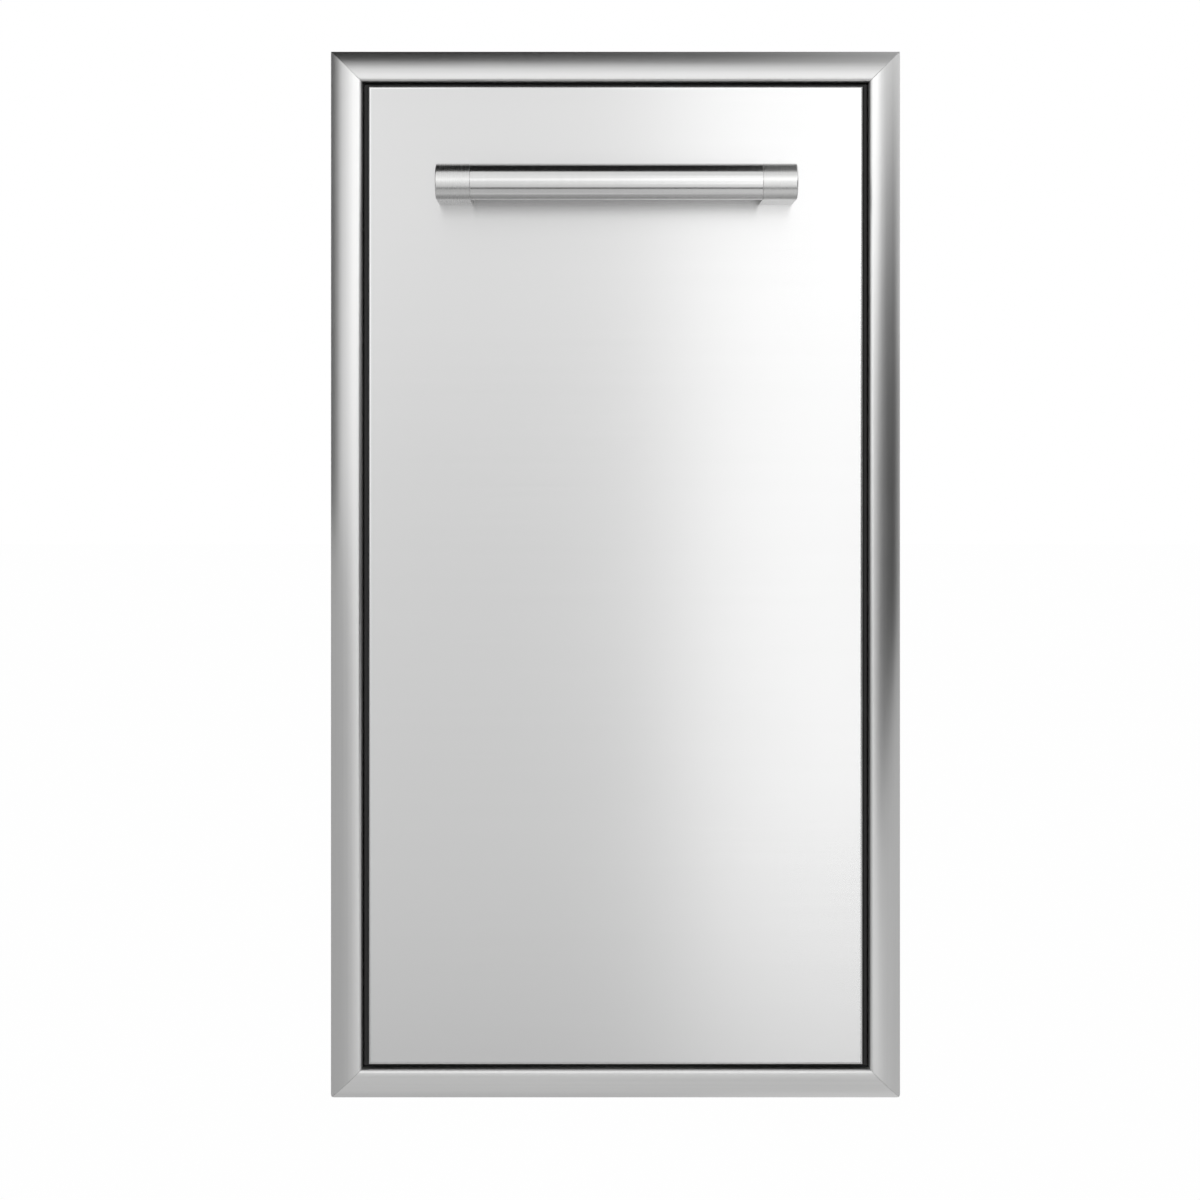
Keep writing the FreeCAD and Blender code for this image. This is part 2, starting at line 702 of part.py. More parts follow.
def channel(back, front, top, gauge):
    """Section of a plain bent channel whose web is at back and whose legs end at front."""
    way = 1 if value(back) < value(front) else -1
    span = f"({way} * ({front} - {back}))"
    bend = f"({gauge} + slide_bend)"
    low = f"({top} - {gauge})"
    section = [
        (bend, f"-{top}", bend, CCW),
        (span, f"-{top}"),
        (span, f"-{low}"),
        (bend, f"-{low}"),
        (gauge, f"slide_bend - {low}", "slide_bend", CW),
        (gauge, f"{low} - slide_bend"),
        (bend, low, "slide_bend", CW),
        (span, low),
        (span, top),
        (bend, top),
        ("0", f"{top} - {bend}", bend, CCW),
        ("0", f"{bend} - {top}"),
    ]
    return mapped(section, lambda w, v: f"{back} + {way} * ({w})", lambda w, v: v, way < 0)


def lipped_channel(front, top, gauge, lip):
    """The fixed member: a bent channel whose legs end in lips that keep the balls in."""
    bend = f"({gauge} + slide_bend)"
    low = f"({top} - {gauge})"
    tip = f"({low} - {lip})"
    neck = f"({front} - {gauge})"
    return [
        (bend, f"-{top}", bend, CCW),
        (f"{front} - {bend}", f"-{top}"),
        (front, f"{bend} - {top}", bend, CCW),
        (front, f"-{tip}"),
        (neck, f"-{tip}"),
        (neck, f"slide_bend - {low}"),
        (f"{neck} - slide_bend", f"-{low}", "slide_bend", CW),
        (bend, f"-{low}"),
        (gauge, f"slide_bend - {low}", "slide_bend", CW),
        (gauge, f"{low} - slide_bend"),
        (bend, low, "slide_bend", CW),
        (f"{neck} - slide_bend", low),
        (neck, f"{low} - slide_bend", "slide_bend", CW),
        (neck, tip),
        (front, tip),
        (front, f"{top} - {bend}"),
        (f"{front} - {bend}", top, bend, CCW),
        (bend, top),
        ("0", f"{top} - {bend}", bend, CCW),
        ("0", f"{bend} - {top}"),
    ]


def slide_section(section, side):
    """A section drawn in t and v, put at its place on the named side."""
    return mapped(
        section,
        lambda t, v: f"{side} * ({WEB_X} - ({t}))",
        lambda t, v: f"{SLIDE_Z} + ({v})",
        side > 0,
    )


def build_slide(name, side):
    outer = node(f"slide_outer_{name}")
    section = slide_section(lipped_channel(OUTER_END_T, LEG_TOP, "slide_gauge", "slide_lip"), side)
    plate(outer, "XZ", [section], "slide_start", "slide_length")
    holes = [circle(slide_spot(index), SLIDE_Z, "screw_hole") for index in range(SLIDE_HOLES)]
    web = f"{WEB_X} - 2 * slide_gauge"
    cut(outer, "YZ", holes, across(side, web, "3 * slide_gauge"), "3 * slide_gauge")

    middle = node(f"slide_middle_{name}")
    section = slide_section(channel(MIDDLE_T, MIDDLE_END_T, MIDDLE_TOP, "slide_gauge"), side)
    plate(middle, "XZ", [section], "slide_start", "slide_length")

    inner = node(f"slide_inner_{name}")
    section = slide_section(channel("slide_thick", INNER_T, INNER_TOP, "slide_gauge"), side)
    plate(inner, "XZ", [section], "slide_start", "slide_length")
    web = f"{CARRIER_X} - slide_gauge"
    pivot = [circle("lever_pivot", SLIDE_Z, "rivet_hole")]
    cut(inner, "YZ", holes + pivot, across(side, web, "3 * slide_gauge"), "3 * slide_gauge")

    rows = (
        ("outer", OUTER_CAGE_T, f"{OUTER_END_T} - cage_setback", OUTER_BALL_V, OUTER_BALL_T),
        ("inner", INNER_CAGE_T, f"{MIDDLE_END_T} - slide_clear", INNER_BALL_V, INNER_BALL_T),
    )
    for race, back, front, ball_v, ball_t in rows:
        build_race(f"{race}_ball_cage_{name}", f"{race}_balls_{name}", side, back, front, ball_v, ball_t)


def build_race(cage_name, balls_name, side, back, front, ball_v, ball_t):
    """A cage of folded strip, and the two rows of balls that sit in its windows."""
    cage = node(cage_name)
    top = f"({ball_v} + cage_gauge / 2)"
    section = slide_section(channel(back, front, top, "cage_gauge"), side)
    plate(cage, "XZ", [section], CAGE_START, "cage_length")
    spots = [
        f"slide_start + slide_length / 2 + {index - BALLS_PER_ROW // 2} * ball_spacing"
        for index in range(BALLS_PER_ROW)
    ]
    windows = [
        circle(f"{side} * ({WEB_X} - {ball_t})", spot, "2 * (ball_radius + window_clear)")
        for spot in spots
    ]
    cut(cage, "XY", windows, f"{SLIDE_Z} - {top} - cage_gauge", f"2 * ({top} + cage_gauge)")
    balls = []
    for spot in spots:
        for sign in (-1, 1):
            ball = doc.addObject("Part::Sphere", f"{balls_name}_ball")
            bind(ball, "Radius", "ball_radius")
            bind(ball, "Placement.Base.x", f"{side} * ({WEB_X} - {ball_t})")
            bind(ball, "Placement.Base.y", spot)
            bind(ball, "Placement.Base.z", f"{SLIDE_Z} + {sign} * {ball_v}")
            balls.append(ball)
    compound(balls_name, balls)


LEVER_T = f"({WEB_T} - slide_clear / 2)"


def build_lever(name, side):
    """Plastic trip lever: a hub on the rivet, a slim arm and a wider finger pad."""
    lever = node(f"release_lever_{name}")
    hub = "(lever_hub)"
    arm = "(lever_width / 2)"
    pad = "(lever_tip / 2)"
    tip_y = "(lever_pivot - lever_reach)"
    outline = [
        (f"lever_pivot + {hub}", SLIDE_Z),
        ("lever_pivot", f"{SLIDE_Z} + {hub}", hub, CCW),
        (f"lever_pivot - 2 * {hub}", f"{SLIDE_Z} + {arm}"),
        (f"{tip_y} + 3 * {pad}", f"{SLIDE_Z} + {arm}"),
        (f"{tip_y} + {pad}", f"{SLIDE_Z} + {pad}"),
        (tip_y, SLIDE_Z, pad, CCW),
        (f"{tip_y} + {pad}", f"{SLIDE_Z} - {pad}", pad, CCW),
        (f"{tip_y} + 3 * {pad}", f"{SLIDE_Z} - {arm}"),
        (f"lever_pivot - 2 * {hub}", f"{SLIDE_Z} - {arm}"),
        ("lever_pivot", f"{SLIDE_Z} - {hub}"),
    ]
    outline[0] += (hub, CCW)
    near = f"{WEB_X} - {LEVER_T}"
    plate(lever, "YZ", [outline], across(side, near, "lever_thick"), "lever_thick")
    bore = [circle("lever_pivot", SLIDE_Z, "rivet_hole")]
    cut(lever, "YZ", bore, across(side, f"{near} - lever_thick", "3 * lever_thick"), "3 * lever_thick")


# Front

def build_front_panel():
    panel = node("front_panel")
    skin = rect(f"-{PANEL_X}", PANEL_X, f"-{PANEL_Z}", PANEL_Z)
    plate(panel, "XZ", [skin], FACE_Y, "panel_depth")
    front = value(FACE_Y)
    soften(panel, "panel_bend", lambda middle, run: close(middle.y, front))
    half_x = f"({PANEL_X} - sheet_gauge)"
    half_z = f"({PANEL_Z} - sheet_gauge)"
    hollow = rect(f"-{half_x}", half_x, f"-{half_z}", half_z)
    cut(panel, "XZ", [hollow], f"{FACE_Y} + sheet_gauge", "panel_depth")
    back = value(f"{FACE_Y} + sheet_gauge")
    soften(panel, "panel_bend - sheet_gauge", lambda middle, run: close(middle.y, back))
    holes = on_both_sides(HANDLE_X, [HANDLE_Z], "handle_hole")
    cut(panel, "XZ", holes, f"{FACE_Y} - sheet_gauge", "3 * sheet_gauge")


def build_liner():
    liner = node("front_liner")
    half_x = f"({PANEL_X} - sheet_gauge)"
    half_z = f"({PANEL_Z} - sheet_gauge)"
    block = rect(f"-{half_x}", half_x, f"-{half_z}", half_z)
    plate(liner, "XZ", [block], f"{PANEL_BACK} - liner_flange", "liner_flange")
    back = value(PANEL_BACK)
    soften(liner, "fold_radius + liner_gauge", lambda middle, run: close(middle.y, back))
    in_x = f"({half_x} - liner_gauge)"
    in_z = f"({half_z} - liner_gauge)"
    hollow = rect(f"-{in_x}", in_x, f"-{in_z}", in_z)
    cut(liner, "XZ", [hollow], f"{PANEL_BACK} - 2 * liner_flange", "2 * liner_flange - liner_gauge")
    inside = value(f"{PANEL_BACK} - liner_gauge")
    soften(liner, "fold_radius", lambda middle, run: close(middle.y, inside))
    access = on_both_sides(HANDLE_X, [HANDLE_Z], "access_hole")
    holes = on_both_sides(CARRIER_RIVET_X, FIXING_ROWS, "screw_hole")
    cut(liner, "XZ", access + holes, f"{PANEL_BACK} - 2 * liner_gauge", "3 * liner_gauge")


FIXING_ROWS = [f"{GUSSET_TOP} - fixing_inset - {index} * fixing_spacing" for index in range(FIXINGS)]


def build_handle():
    bar = node("handle_bar")
    tube = [
        circle(HANDLE_Y, HANDLE_Z, "handle_diameter"),
        circle(HANDLE_Y, HANDLE_Z, "handle_diameter - 2 * handle_wall"),
    ]
    plate(bar, "YZ", tube, "handle_end_width - handle_length / 2", "handle_length - 2 * handle_end_width")
    for name, side in SIDES:
        end = node(f"handle_end_{name}")
        radius = "(handle_diameter / 2)"
        section = [
            (HANDLE_Y, f"{HANDLE_Z} + {radius}"),
            (f"{HANDLE_Y} - {radius}", HANDLE_Z, radius, CCW),
            (HANDLE_Y, f"{HANDLE_Z} - {radius}", radius, CCW),
            (FACE_Y, f"{HANDLE_Z} - {radius}"),
            (FACE_Y, f"{HANDLE_Z} + {radius}"),
        ]
        near = "handle_length / 2 - handle_end_width"
        plate(end, "YZ", [section], across(side, near, "handle_end_width"), "handle_end_width")
        far = side * value("handle_length / 2")
        foot = value(FACE_Y)
        soften(
            end,
            "handle_end_rim",
            lambda middle, run, far=far: close(middle.x, far) and not close(middle.y, foot),
        )
        spigot = [circle(HANDLE_Y, HANDLE_Z, "handle_diameter - 2 * handle_wall - 2 * spigot_clear")]
        inset = across(side, f"{near} - spigot_length", "2 * spigot_length")
        plate(end, "YZ", spigot, inset, "2 * spigot_length")
        hole = [circle(f"{side} * {HANDLE_X}", HANDLE_Z, "handle_hole")]
        cut(end, "XZ", hole, f"{FACE_Y} - handle_hole_depth", "handle_hole_depth + sheet_gauge")


# Carrier

def build_carrier_side(name, side):
    """Folded side of the carrier, with a gusset up the front and all its flanges turned inwards."""
    panel = node(f"drawer_side_{name}")
    web = [
        (f"{PANEL_BACK} + {FOLD}", f"{CARRIER_BASE} + {FOLD}"),
        (f"carrier_depth - {FOLD}", f"{CARRIER_BASE} + {FOLD}"),
        (f"carrier_depth - {FOLD}", f"{CARRIER_TOP} - {FOLD}"),
        ("gusset_run", f"{CARRIER_TOP} - {FOLD}"),
        ("gusset_depth", GUSSET_TOP),
        (f"{PANEL_BACK} + {FOLD}", GUSSET_TOP),
    ]
    plate(panel, "YZ", [web], across(side, CARRIER_IN, "sheet_gauge"), "sheet_gauge")
    outer = f"{side} * {CARRIER_X}"
    inwards = (-side, 0)
    upright = (CARRIER_BASE, GUSSET_TOP)
    back = (f"{CARRIER_BASE} + {FOLD_END}", f"{CARRIER_TOP} - {FOLD_END}")
    low = (f"{PANEL_BACK} + {FOLD_END}", f"carrier_depth - {FOLD_END}")
    high = ("gusset_run + fold_relief", f"carrier_depth - band_flange - {FOLD_END}")
    fold(panel, "XY", (outer, PANEL_BACK), (0, 1), inwards, upright, "carrier_flange")
    fold(panel, "XY", (outer, "carrier_depth"), (0, -1), inwards, back, "carrier_flange")
    fold(panel, "XZ", (outer, CARRIER_BASE), (0, 1), inwards, low, "carrier_flange")
    fold(panel, "XZ", (outer, CARRIER_TOP), (0, -1), inwards, high, "band_flange")
    holes = [circle(slide_spot(index), SLIDE_Z, "screw_hole") for index in range(SLIDE_HOLES)]
    holes.append(circle("lever_pivot", SLIDE_Z, "rivet_hole"))
    wall = across(side, f"{CARRIER_IN} - sheet_gauge", "3 * sheet_gauge")
    cut(panel, "YZ", holes, wall, "3 * sheet_gauge")
    holes = [circle(f"{side} * {CARRIER_RIVET_X}", row, "screw_hole") for row in FIXING_ROWS]
    cut(panel, "XZ", holes, f"{PANEL_BACK} - sheet_gauge", "3 * sheet_gauge")
    holes = [circle(f"{side} * {CARRIER_RIVET_X}", row, "rivet_hole") for row in CARRIER_ROWS]
    cut(panel, "XZ", holes, "carrier_depth - 2 * sheet_gauge", "3 * sheet_gauge")
    holes = [circle(f"{side} * {CARRIER_RIVET_X}", spot, "rivet_hole") for spot in TRAY_ROWS]
    cut(panel, "XY", holes, f"{CARRIER_BASE} - sheet_gauge", "3 * sheet_gauge")


CARRIER_ROWS = [
    f"{CARRIER_BASE} + rivet_spacing / 4",
    f"{CARRIER_BASE} + carrier_height / 2",
    f"{CARRIER_TOP} - rivet_spacing / 4",
]
TRAY_ROWS = [f"rivet_offset / 2 + {index} * rivet_distance" for index in range(FOOT_RIVETS)]


def build_carrier_back():
    panel = node("drawer_back")
    wall = rect(f"-{TRAY_IN}", TRAY_IN, TRAY_TOP, f"{CARRIER_TOP} - {FOLD}")
    plate(panel, "XZ", [wall], "carrier_depth - 2 * sheet_gauge", "sheet_gauge")
    edge = ("carrier_depth - sheet_gauge", CARRIER_TOP)
    fold(panel, "YZ", edge, (0, -1), (-1, 0), (f"-{TRAY_IN}", TRAY_IN), "band_flange + sheet_gauge")
    holes = on_both_sides(CARRIER_RIVET_X, CARRIER_ROWS, "rivet_hole")
    cut(panel, "XZ", holes, "carrier_depth - 3 * sheet_gauge", "3 * sheet_gauge")


def build_tray():
    tray = node("drawer_tray")
    floor = rect(f"-{TRAY_IN}", TRAY_IN, f"{PANEL_BACK} + sheet_gauge", "carrier_depth - 2 * sheet_gauge")
    plate(tray, "XY", [floor], TRAY_LOW, "sheet_gauge")
    holes = on_both_sides(CARRIER_RIVET_X, TRAY_ROWS, "rivet_hole")
    cut(tray, "XY", holes, CARRIER_BASE, "3 * sheet_gauge")


def build_clips():
    """Angles welded to the tray round the foot of the bin, with their feet turned away from it."""
    half = "(clip_width / 2)"
    side_x = "(bin_base_width / 2 + clip_clear)"
    end_y = "(bin_base_length / 2 + clip_clear)"
    clips = []
    for name, side in SIDES:
        clip = new_body(f"bin_clip_{name}")
        near = f"{side} * ({side_x} + {FOLD})"
        far = f"{side} * ({side_x} + clip_foot)"
        span = (f"bin_middle - {half}", f"bin_middle + {half}")
        plate(clip, "XY", [rect(near, far, *span)], TRAY_TOP, "sheet_gauge")
        fold(clip, "XZ", (f"{side} * {side_x}", TRAY_TOP), (side, 0), (0, 1), span, "clip_height")
        clips.append(clip)
    for name, side in (("front", -1), ("back", 1)):
        clip = new_body(f"bin_clip_{name}")
        near = f"bin_middle + {side} * ({end_y} + {FOLD})"
        far = f"bin_middle + {side} * ({end_y} + clip_foot)"
        span = (f"-{half}", half)
        plate(clip, "XY", [rect(*span, near, far)], TRAY_TOP, "sheet_gauge")
        corner = (f"bin_middle + {side} * {end_y}", TRAY_TOP)
        fold(clip, "YZ", corner, (side, 0), (0, 1), span, "clip_height")
        clips.append(clip)
    compound("bin_clips", clips)


# Bin

def bin_section(width, length, radius, inset):
    half_x = f"({width} / 2 - ({inset}))"
    half_y = f"({length} / 2 - ({inset}))"
    round_off = f"({radius} - ({inset}))"
    return rounded(f"-{half_x}", half_x, f"(bin_middle - {half_y})", f"(bin_middle + {half_y})", round_off)


def loft(body, kind, sections):
    """A straight-sided transition between two sketches at their levels."""
    sketches = [new_sketch(body, "XY", level, [outline]) for outline, level in sections]
    feature = body.newObject(f"PartDesign::{kind}", f"{body.Name}_loft")
    feature.Profile = sketches[0]
    feature.Sections = sketches[1:]
    feature.Ruled = True
    body.Tip = feature
    return feature


def build_bin():
    can = node("trash_bin")
    base = ("bin_base_width", "bin_base_length", "bin_base_round")
    top = ("bin_top_width", "bin_top_length", "bin_top_round")
    loft(can, "AdditiveLoft", [(bin_section(*base, "0"), BIN_BASE), (bin_section(*top, "0"), BIN_TOP)])
    rim = bin_section(*top, "-bin_rim")
    plate(can, "XY", [rim], f"{BIN_TOP} - bin_rim_thick", "bin_rim_thick")
    skirt = bin_section(*top, "bin_wall - bin_rim")
    plate(can, "XY", [rim, skirt], f"{BIN_TOP} - bin_skirt", "bin_skirt")
    rise = "(bin_floor / bin_height)"
    inner_width = f"(bin_base_width + (bin_top_width - bin_base_width) * {rise})"
    inner_length = f"(bin_base_length + (bin_top_length - bin_base_length) * {rise})"
    inner_base = (inner_width, inner_length, "bin_base_round")
    hollow = [
        (bin_section(*inner_base, "bin_wall"), f"{BIN_BASE} + bin_floor"),
        (bin_section(*top, "bin_wall"), BIN_TOP),
    ]
    loft(can, "SubtractiveLoft", hollow)
    high = value(BIN_TOP)
    edge = value("bin_top_width / 2 + bin_rim / 2")
    reach = value("bin_top_length / 2 + bin_rim / 2")
    centre = value("bin_middle")
    soften(
        can,
        "bin_rim_thick / 2",
        lambda middle, run: close(middle.z, high) and on_rim(middle, centre, edge, reach),
    )


def on_rim(middle, centre, edge, reach):
    """Whether a point of the rim's top lies outside the bin's own wall."""
    corner = value("bin_top_round")
    over_x = abs(middle.x) - (edge - corner)
    over_y = abs(middle.y - centre) - (reach - corner)
    if over_x > 0 and over_y > 0:
        return math.hypot(over_x, over_y) > corner
    return abs(middle.x) > edge or abs(middle.y - centre) > reach


# Fasteners

def dome(body, head, rise, shank, length):
    """Turned fastener: domed head above its seat and a plain shank below it."""
    radius = f"({head} / 2)"
    curve = f"(({radius} ^ 2 + {rise} ^ 2) / (2 * {rise}))"
    turned(body, [
        ("0", f"-({length})"),
        (f"{shank} / 2", f"-({length})"),
        (f"{shank} / 2", "0"),
        (radius, "0"),
        ("0", rise, curve, CCW),
    ])


def socket(body, rise):
    """Hexagonal recess in the top of a screw."""
    corners = []
    for index in range(SOCKET_SIDES):
        angle = 2 * math.pi * index / SOCKET_SIDES
        across_x = f"screw_socket / 2 * {math.cos(angle):.6f}"
        across_y = f"screw_socket / 2 * {math.sin(angle):.6f}"
        corners.append((across_x, across_y))
    cut(body, "XY", [corners], f"{rise} - screw_socket_depth", "2 * screw_socket_depth")


def rivet_master(label, length):
    body = new_body(label)
    dome(body, "rivet_head", "rivet_rise", "rivet_shank", length)
    return body


def screw_master(label, length):
    body = new_body(label)
    dome(body, "screw_head", "screw_rise", "screw_shank", length)
    socket(body, "screw_rise")
    return body


def build_fasteners():
    short = rivet_master("sheet_rivet", "2 * sheet_gauge - ball_clear")
    places = []
    for _, side in SIDES:
        for row in STILE_ROWS:
            places.append(((f"{side} * {FLANGE_X}", f"{STOP_BACK} + sheet_gauge", row), (0, 1, 0)))
        for row in BACK_ROWS:
            places.append(((f"{side} * {CHASSIS_RIVET_X}", "chassis_depth", row), (0, 1, 0)))
        for row in FOOT_ROWS:
            places.append(((f"{side} * {CHASSIS_RIVET_X}", row, f"-{CLEAR_Z}"), (0, 0, -1)))
    for spot in SILL_SPOTS:
        places.append(((spot, f"{STOP_BACK} + sheet_gauge", f"-{FLANGE_Z}"), (0, 1, 0)))
    group("chassis_rivets", short, places)

    places = []
    for _, side in SIDES:
        for row in CARRIER_ROWS:
            places.append(((f"{side} * {CARRIER_RIVET_X}", "carrier_depth", row), (0, 1, 0)))
        for row in TRAY_ROWS:
            places.append(((f"{side} * {CARRIER_RIVET_X}", row, CARRIER_BASE), (0, 0, -1)))
    group("drawer_rivets", short, places)

    screw = screw_master("slide_screw", "sheet_gauge + slide_gauge - ball_clear")
    outside = []
    inside = []
    for _, side in SIDES:
        for index in range(SLIDE_HOLES):
            spot = slide_spot(index)
            outside.append(((f"{side} * {CLEAR_X}", spot, SLIDE_Z), (side, 0, 0)))
            inside.append(((f"{side} * {CARRIER_IN}", spot, SLIDE_Z), (-side, 0, 0)))
    group("cabinet_slide_screws", screw, outside)
    group("drawer_slide_screws", screw, inside)

    pin = rivet_master("lever_rivet", "lever_thick + slide_clear / 2 + slide_gauge + sheet_gauge")
    places = []
    for _, side in SIDES:
        seat = f"{side} * ({WEB_X} - {LEVER_T} + lever_thick + slide_clear / 2)"
        places.append(((seat, "lever_pivot", SLIDE_Z), (side, 0, 0)))
    group("lever_rivets", pin, places)

    fixing = screw_master("fixing_screw", "fixing_length")
    places = []
    for _, side in SIDES:
        for row in FIXING_ROWS:
            places.append(((f"{side} * {CARRIER_RIVET_X}", f"{PANEL_BACK} + sheet_gauge", row), (0, 1, 0)))
    group("front_fixing_screws", fixing, places)

    bolt = screw_master("handle_screw", "handle_screw_length + sheet_gauge")
    seat = f"{FACE_Y} + sheet_gauge"
    places = [((f"{side} * {HANDLE_X}", seat, HANDLE_Z), (0, 1, 0)) for _, side in SIDES]
    group("handle_screws", bolt, places)

    plug = new_body("plug")
    stem = "(access_hole / 2 - ball_clear)"
    turned(plug, [
        ("0", "0"),
        (f"{stem} - plug_wall", "0"),
        (f"{stem} - plug_wall", "-plug_stem"),
        (stem, "-plug_stem"),
        (stem, "0"),
        ("plug_head / 2", "0"),
        ("plug_head / 2 - plug_thick / 2", "plug_thick"),
        ("0", "plug_thick"),
    ])
    places = [((f"{side} * {HANDLE_X}", PANEL_BACK, HANDLE_Z), (0, 1, 0)) for _, side in SIDES]
    group("liner_plugs", plug, places)


def check_everything():
    """Stop the build where a feature failed or a node's shape is empty or broken."""
    for item in doc.Objects:
        if "Invalid" in item.State or "Error" in item.State:
            raise RuntimeError(f"{item.Label}: {item.State}")
    for label, item in NODES.items():
        if item.Shape.isNull() or not item.Shape.isValid() or not item.Shape.Solids:
            raise RuntimeError(f"{label} has no sound solid")


def main():
    fill_sheet()
    build_bezel()
    build_gasket()
    for name, side in SIDES:
        build_side_panel(name, side)
    build_back_panel()
    build_base_pan()
    for name, side in SIDES:
        build_slide(name, side)
        build_lever(name, side)
        build_carrier_side(name, side)
    build_front_panel()
    build_liner()
    build_handle()
    build_carrier_back()
    build_tray()
    build_clips()
    build_bin()
    build_fasteners()
    doc.recompute()
    check_everything()
    os.makedirs("parts", exist_ok=True)
    for label, item in NODES.items():
        item.Shape.exportStep(f"parts/{label}.step")
        print(label, len(item.Shape.Solids), round(item.Shape.Volume))


main()
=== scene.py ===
import json
import math

import bmesh
import bpy
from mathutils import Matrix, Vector


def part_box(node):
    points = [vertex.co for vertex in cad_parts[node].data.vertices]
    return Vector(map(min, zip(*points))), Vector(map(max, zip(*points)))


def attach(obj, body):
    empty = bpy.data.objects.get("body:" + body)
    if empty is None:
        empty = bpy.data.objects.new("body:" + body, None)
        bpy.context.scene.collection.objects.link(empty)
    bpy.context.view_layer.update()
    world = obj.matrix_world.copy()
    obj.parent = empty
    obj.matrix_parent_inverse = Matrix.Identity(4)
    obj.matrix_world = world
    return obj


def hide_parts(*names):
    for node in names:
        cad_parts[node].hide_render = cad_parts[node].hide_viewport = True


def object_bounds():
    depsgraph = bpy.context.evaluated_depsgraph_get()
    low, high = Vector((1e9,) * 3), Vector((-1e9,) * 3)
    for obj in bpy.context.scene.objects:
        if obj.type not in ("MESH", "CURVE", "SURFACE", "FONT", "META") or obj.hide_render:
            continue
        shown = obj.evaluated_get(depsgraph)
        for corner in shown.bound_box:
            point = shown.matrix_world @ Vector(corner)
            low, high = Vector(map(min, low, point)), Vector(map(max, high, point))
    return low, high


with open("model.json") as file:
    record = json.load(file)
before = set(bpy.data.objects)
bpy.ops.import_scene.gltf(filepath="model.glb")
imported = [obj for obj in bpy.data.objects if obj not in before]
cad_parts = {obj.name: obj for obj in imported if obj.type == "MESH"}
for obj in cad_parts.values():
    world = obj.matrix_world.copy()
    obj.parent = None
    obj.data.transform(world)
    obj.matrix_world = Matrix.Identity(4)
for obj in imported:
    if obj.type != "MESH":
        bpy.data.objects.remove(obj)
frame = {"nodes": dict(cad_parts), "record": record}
cad_low, cad_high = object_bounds()

# Sizes that the drawn pieces share with the solids, in metres
SHEET = 0.0012
STOP_FLANGE = 0.011
RAIL_LIP = 0.0025
RAIL_BEND = 0.0025
WALL_FLANGE = 0.009
STOP_BEND = 0.0012
TOP_CORNER = 0.0006
LOW_CORNER = 0.0025
TUBE_WALL = 0.0015
END_RIM = 0.0008
BIN_BASE_WIDTH = 0.204
BIN_BASE_LENGTH = 0.336
BIN_BASE_CORNER = 0.032
BIN_TOP_CORNER = 0.044
BIN_WALL = 0.0025
BIN_FLOOR = 0.003
BIN_RIM = 0.008
BIN_RIM_THICK = 0.003
BIN_SKIRT = 0.016

# The bend of the front's edges, which the photo shows tighter than the solids have it
PANEL_BEND = 0.0018

# Details that only the drawn pieces have
SEAM = 0.00025
BIN_RIM_ROUND = 0.002
BIN_MOUTH_ROUND = 0.0012
BIN_EASE = 0.0004
BIN_BAND = 0.06
BIN_STEP = 0.0016
BIN_FOOT = 0.0125
BIN_FOOT_ROUND = 0.004
BIN_RECESS = 0.0015
BIN_FLOOR_ROUND = 0.007
# Keeps two loops of the bin on levels of their own
HAIR = 0.00002
# Depth of the handle's bores, in radii of the tube
BORE_DEPTH = 4

# How finely rounds are divided
CROWN_STEPS = 24
RAIL_BEND_STEPS = 6
STOP_BEND_STEPS = 4
SEAM_STEPS = 2
PANEL_BEND_STEPS = 8
TUBE_SIDES = 128
END_STEPS = 28
END_RIM_STEPS = 4
BIN_CORNER_STEPS = 16
BIN_ROUND_STEPS = 3
# Directions of the flats that round half of a bezel corner, in degrees
CORNER_CUTS = (7.5, 22.5, 37.5)
# Faces that meet at less than this many degrees are shaded as one
SMOOTH_ANGLE = 30

# Limits for finding parts of a mesh: distances in metres, then shares of a unit normal or of a radius
TOUCH = 1e-6
WELD = 1e-5
CLEAR = 1e-4
FACING = 0.9
FLAT = 0.999
NEAR_RIM = 0.99
# A full half round would close its front edges onto each other
HALF_ROUND = 0.9999


# Modelling

def begin(name, add, **settings):
    """Add a primitive by itself, put its place in its mesh and open it for editing."""
    bpy.ops.object.select_all(action="DESELECT")
    add(**settings)
    piece = bpy.context.active_object
    piece.name = name
    piece.data.name = name
    bpy.ops.object.transform_apply(location=True, rotation=True, scale=True)
    bpy.ops.object.mode_set(mode="EDIT")
    bpy.ops.mesh.select_mode(type="VERT")
    bpy.ops.mesh.select_all(action="SELECT")
    return piece


def drawn():
    """The mesh of the piece that is being edited."""
    return bmesh.from_edit_mesh(bpy.context.active_object.data)


def middle(part):
    """The mean place of an edge's or a face's corners."""
    return sum((vert.co for vert in part.verts), Vector()) / len(part.verts)


def choose(kind, test):
    """Select only the edges or faces that pass a test."""
    bpy.ops.mesh.select_mode(type=kind)
    bpy.ops.mesh.select_all(action="DESELECT")
    mesh = drawn()
    parts = mesh.edges if kind == "EDGE" else mesh.faces
    for part in parts:
        part.select_set(test(part))
    bmesh.update_edit_mesh(bpy.context.active_object.data)


def modify(kind, **settings):
    """Add a modifier to the piece and apply it; the piece is left open for editing."""
    bpy.ops.object.mode_set(mode="OBJECT")
    modifier = bpy.context.active_object.modifiers.new(kind.title(), kind)
    for name, setting in settings.items():
        setattr(modifier, name, setting)
    bpy.ops.object.modifier_apply(modifier=modifier.name)
    bpy.ops.object.mode_set(mode="EDIT")


def line(x, y, z):
    """Run the section's open end straight on."""
    bpy.ops.mesh.extrude_vertices_move(TRANSFORM_OT_translate={"value": (x, y, z)})


def arc(angle, steps, x, y, z):
    """Run the section's open end round a centre."""
    bpy.ops.mesh.spin(steps=steps, angle=angle, center=(x, y, z), axis=(0, 0, 1))


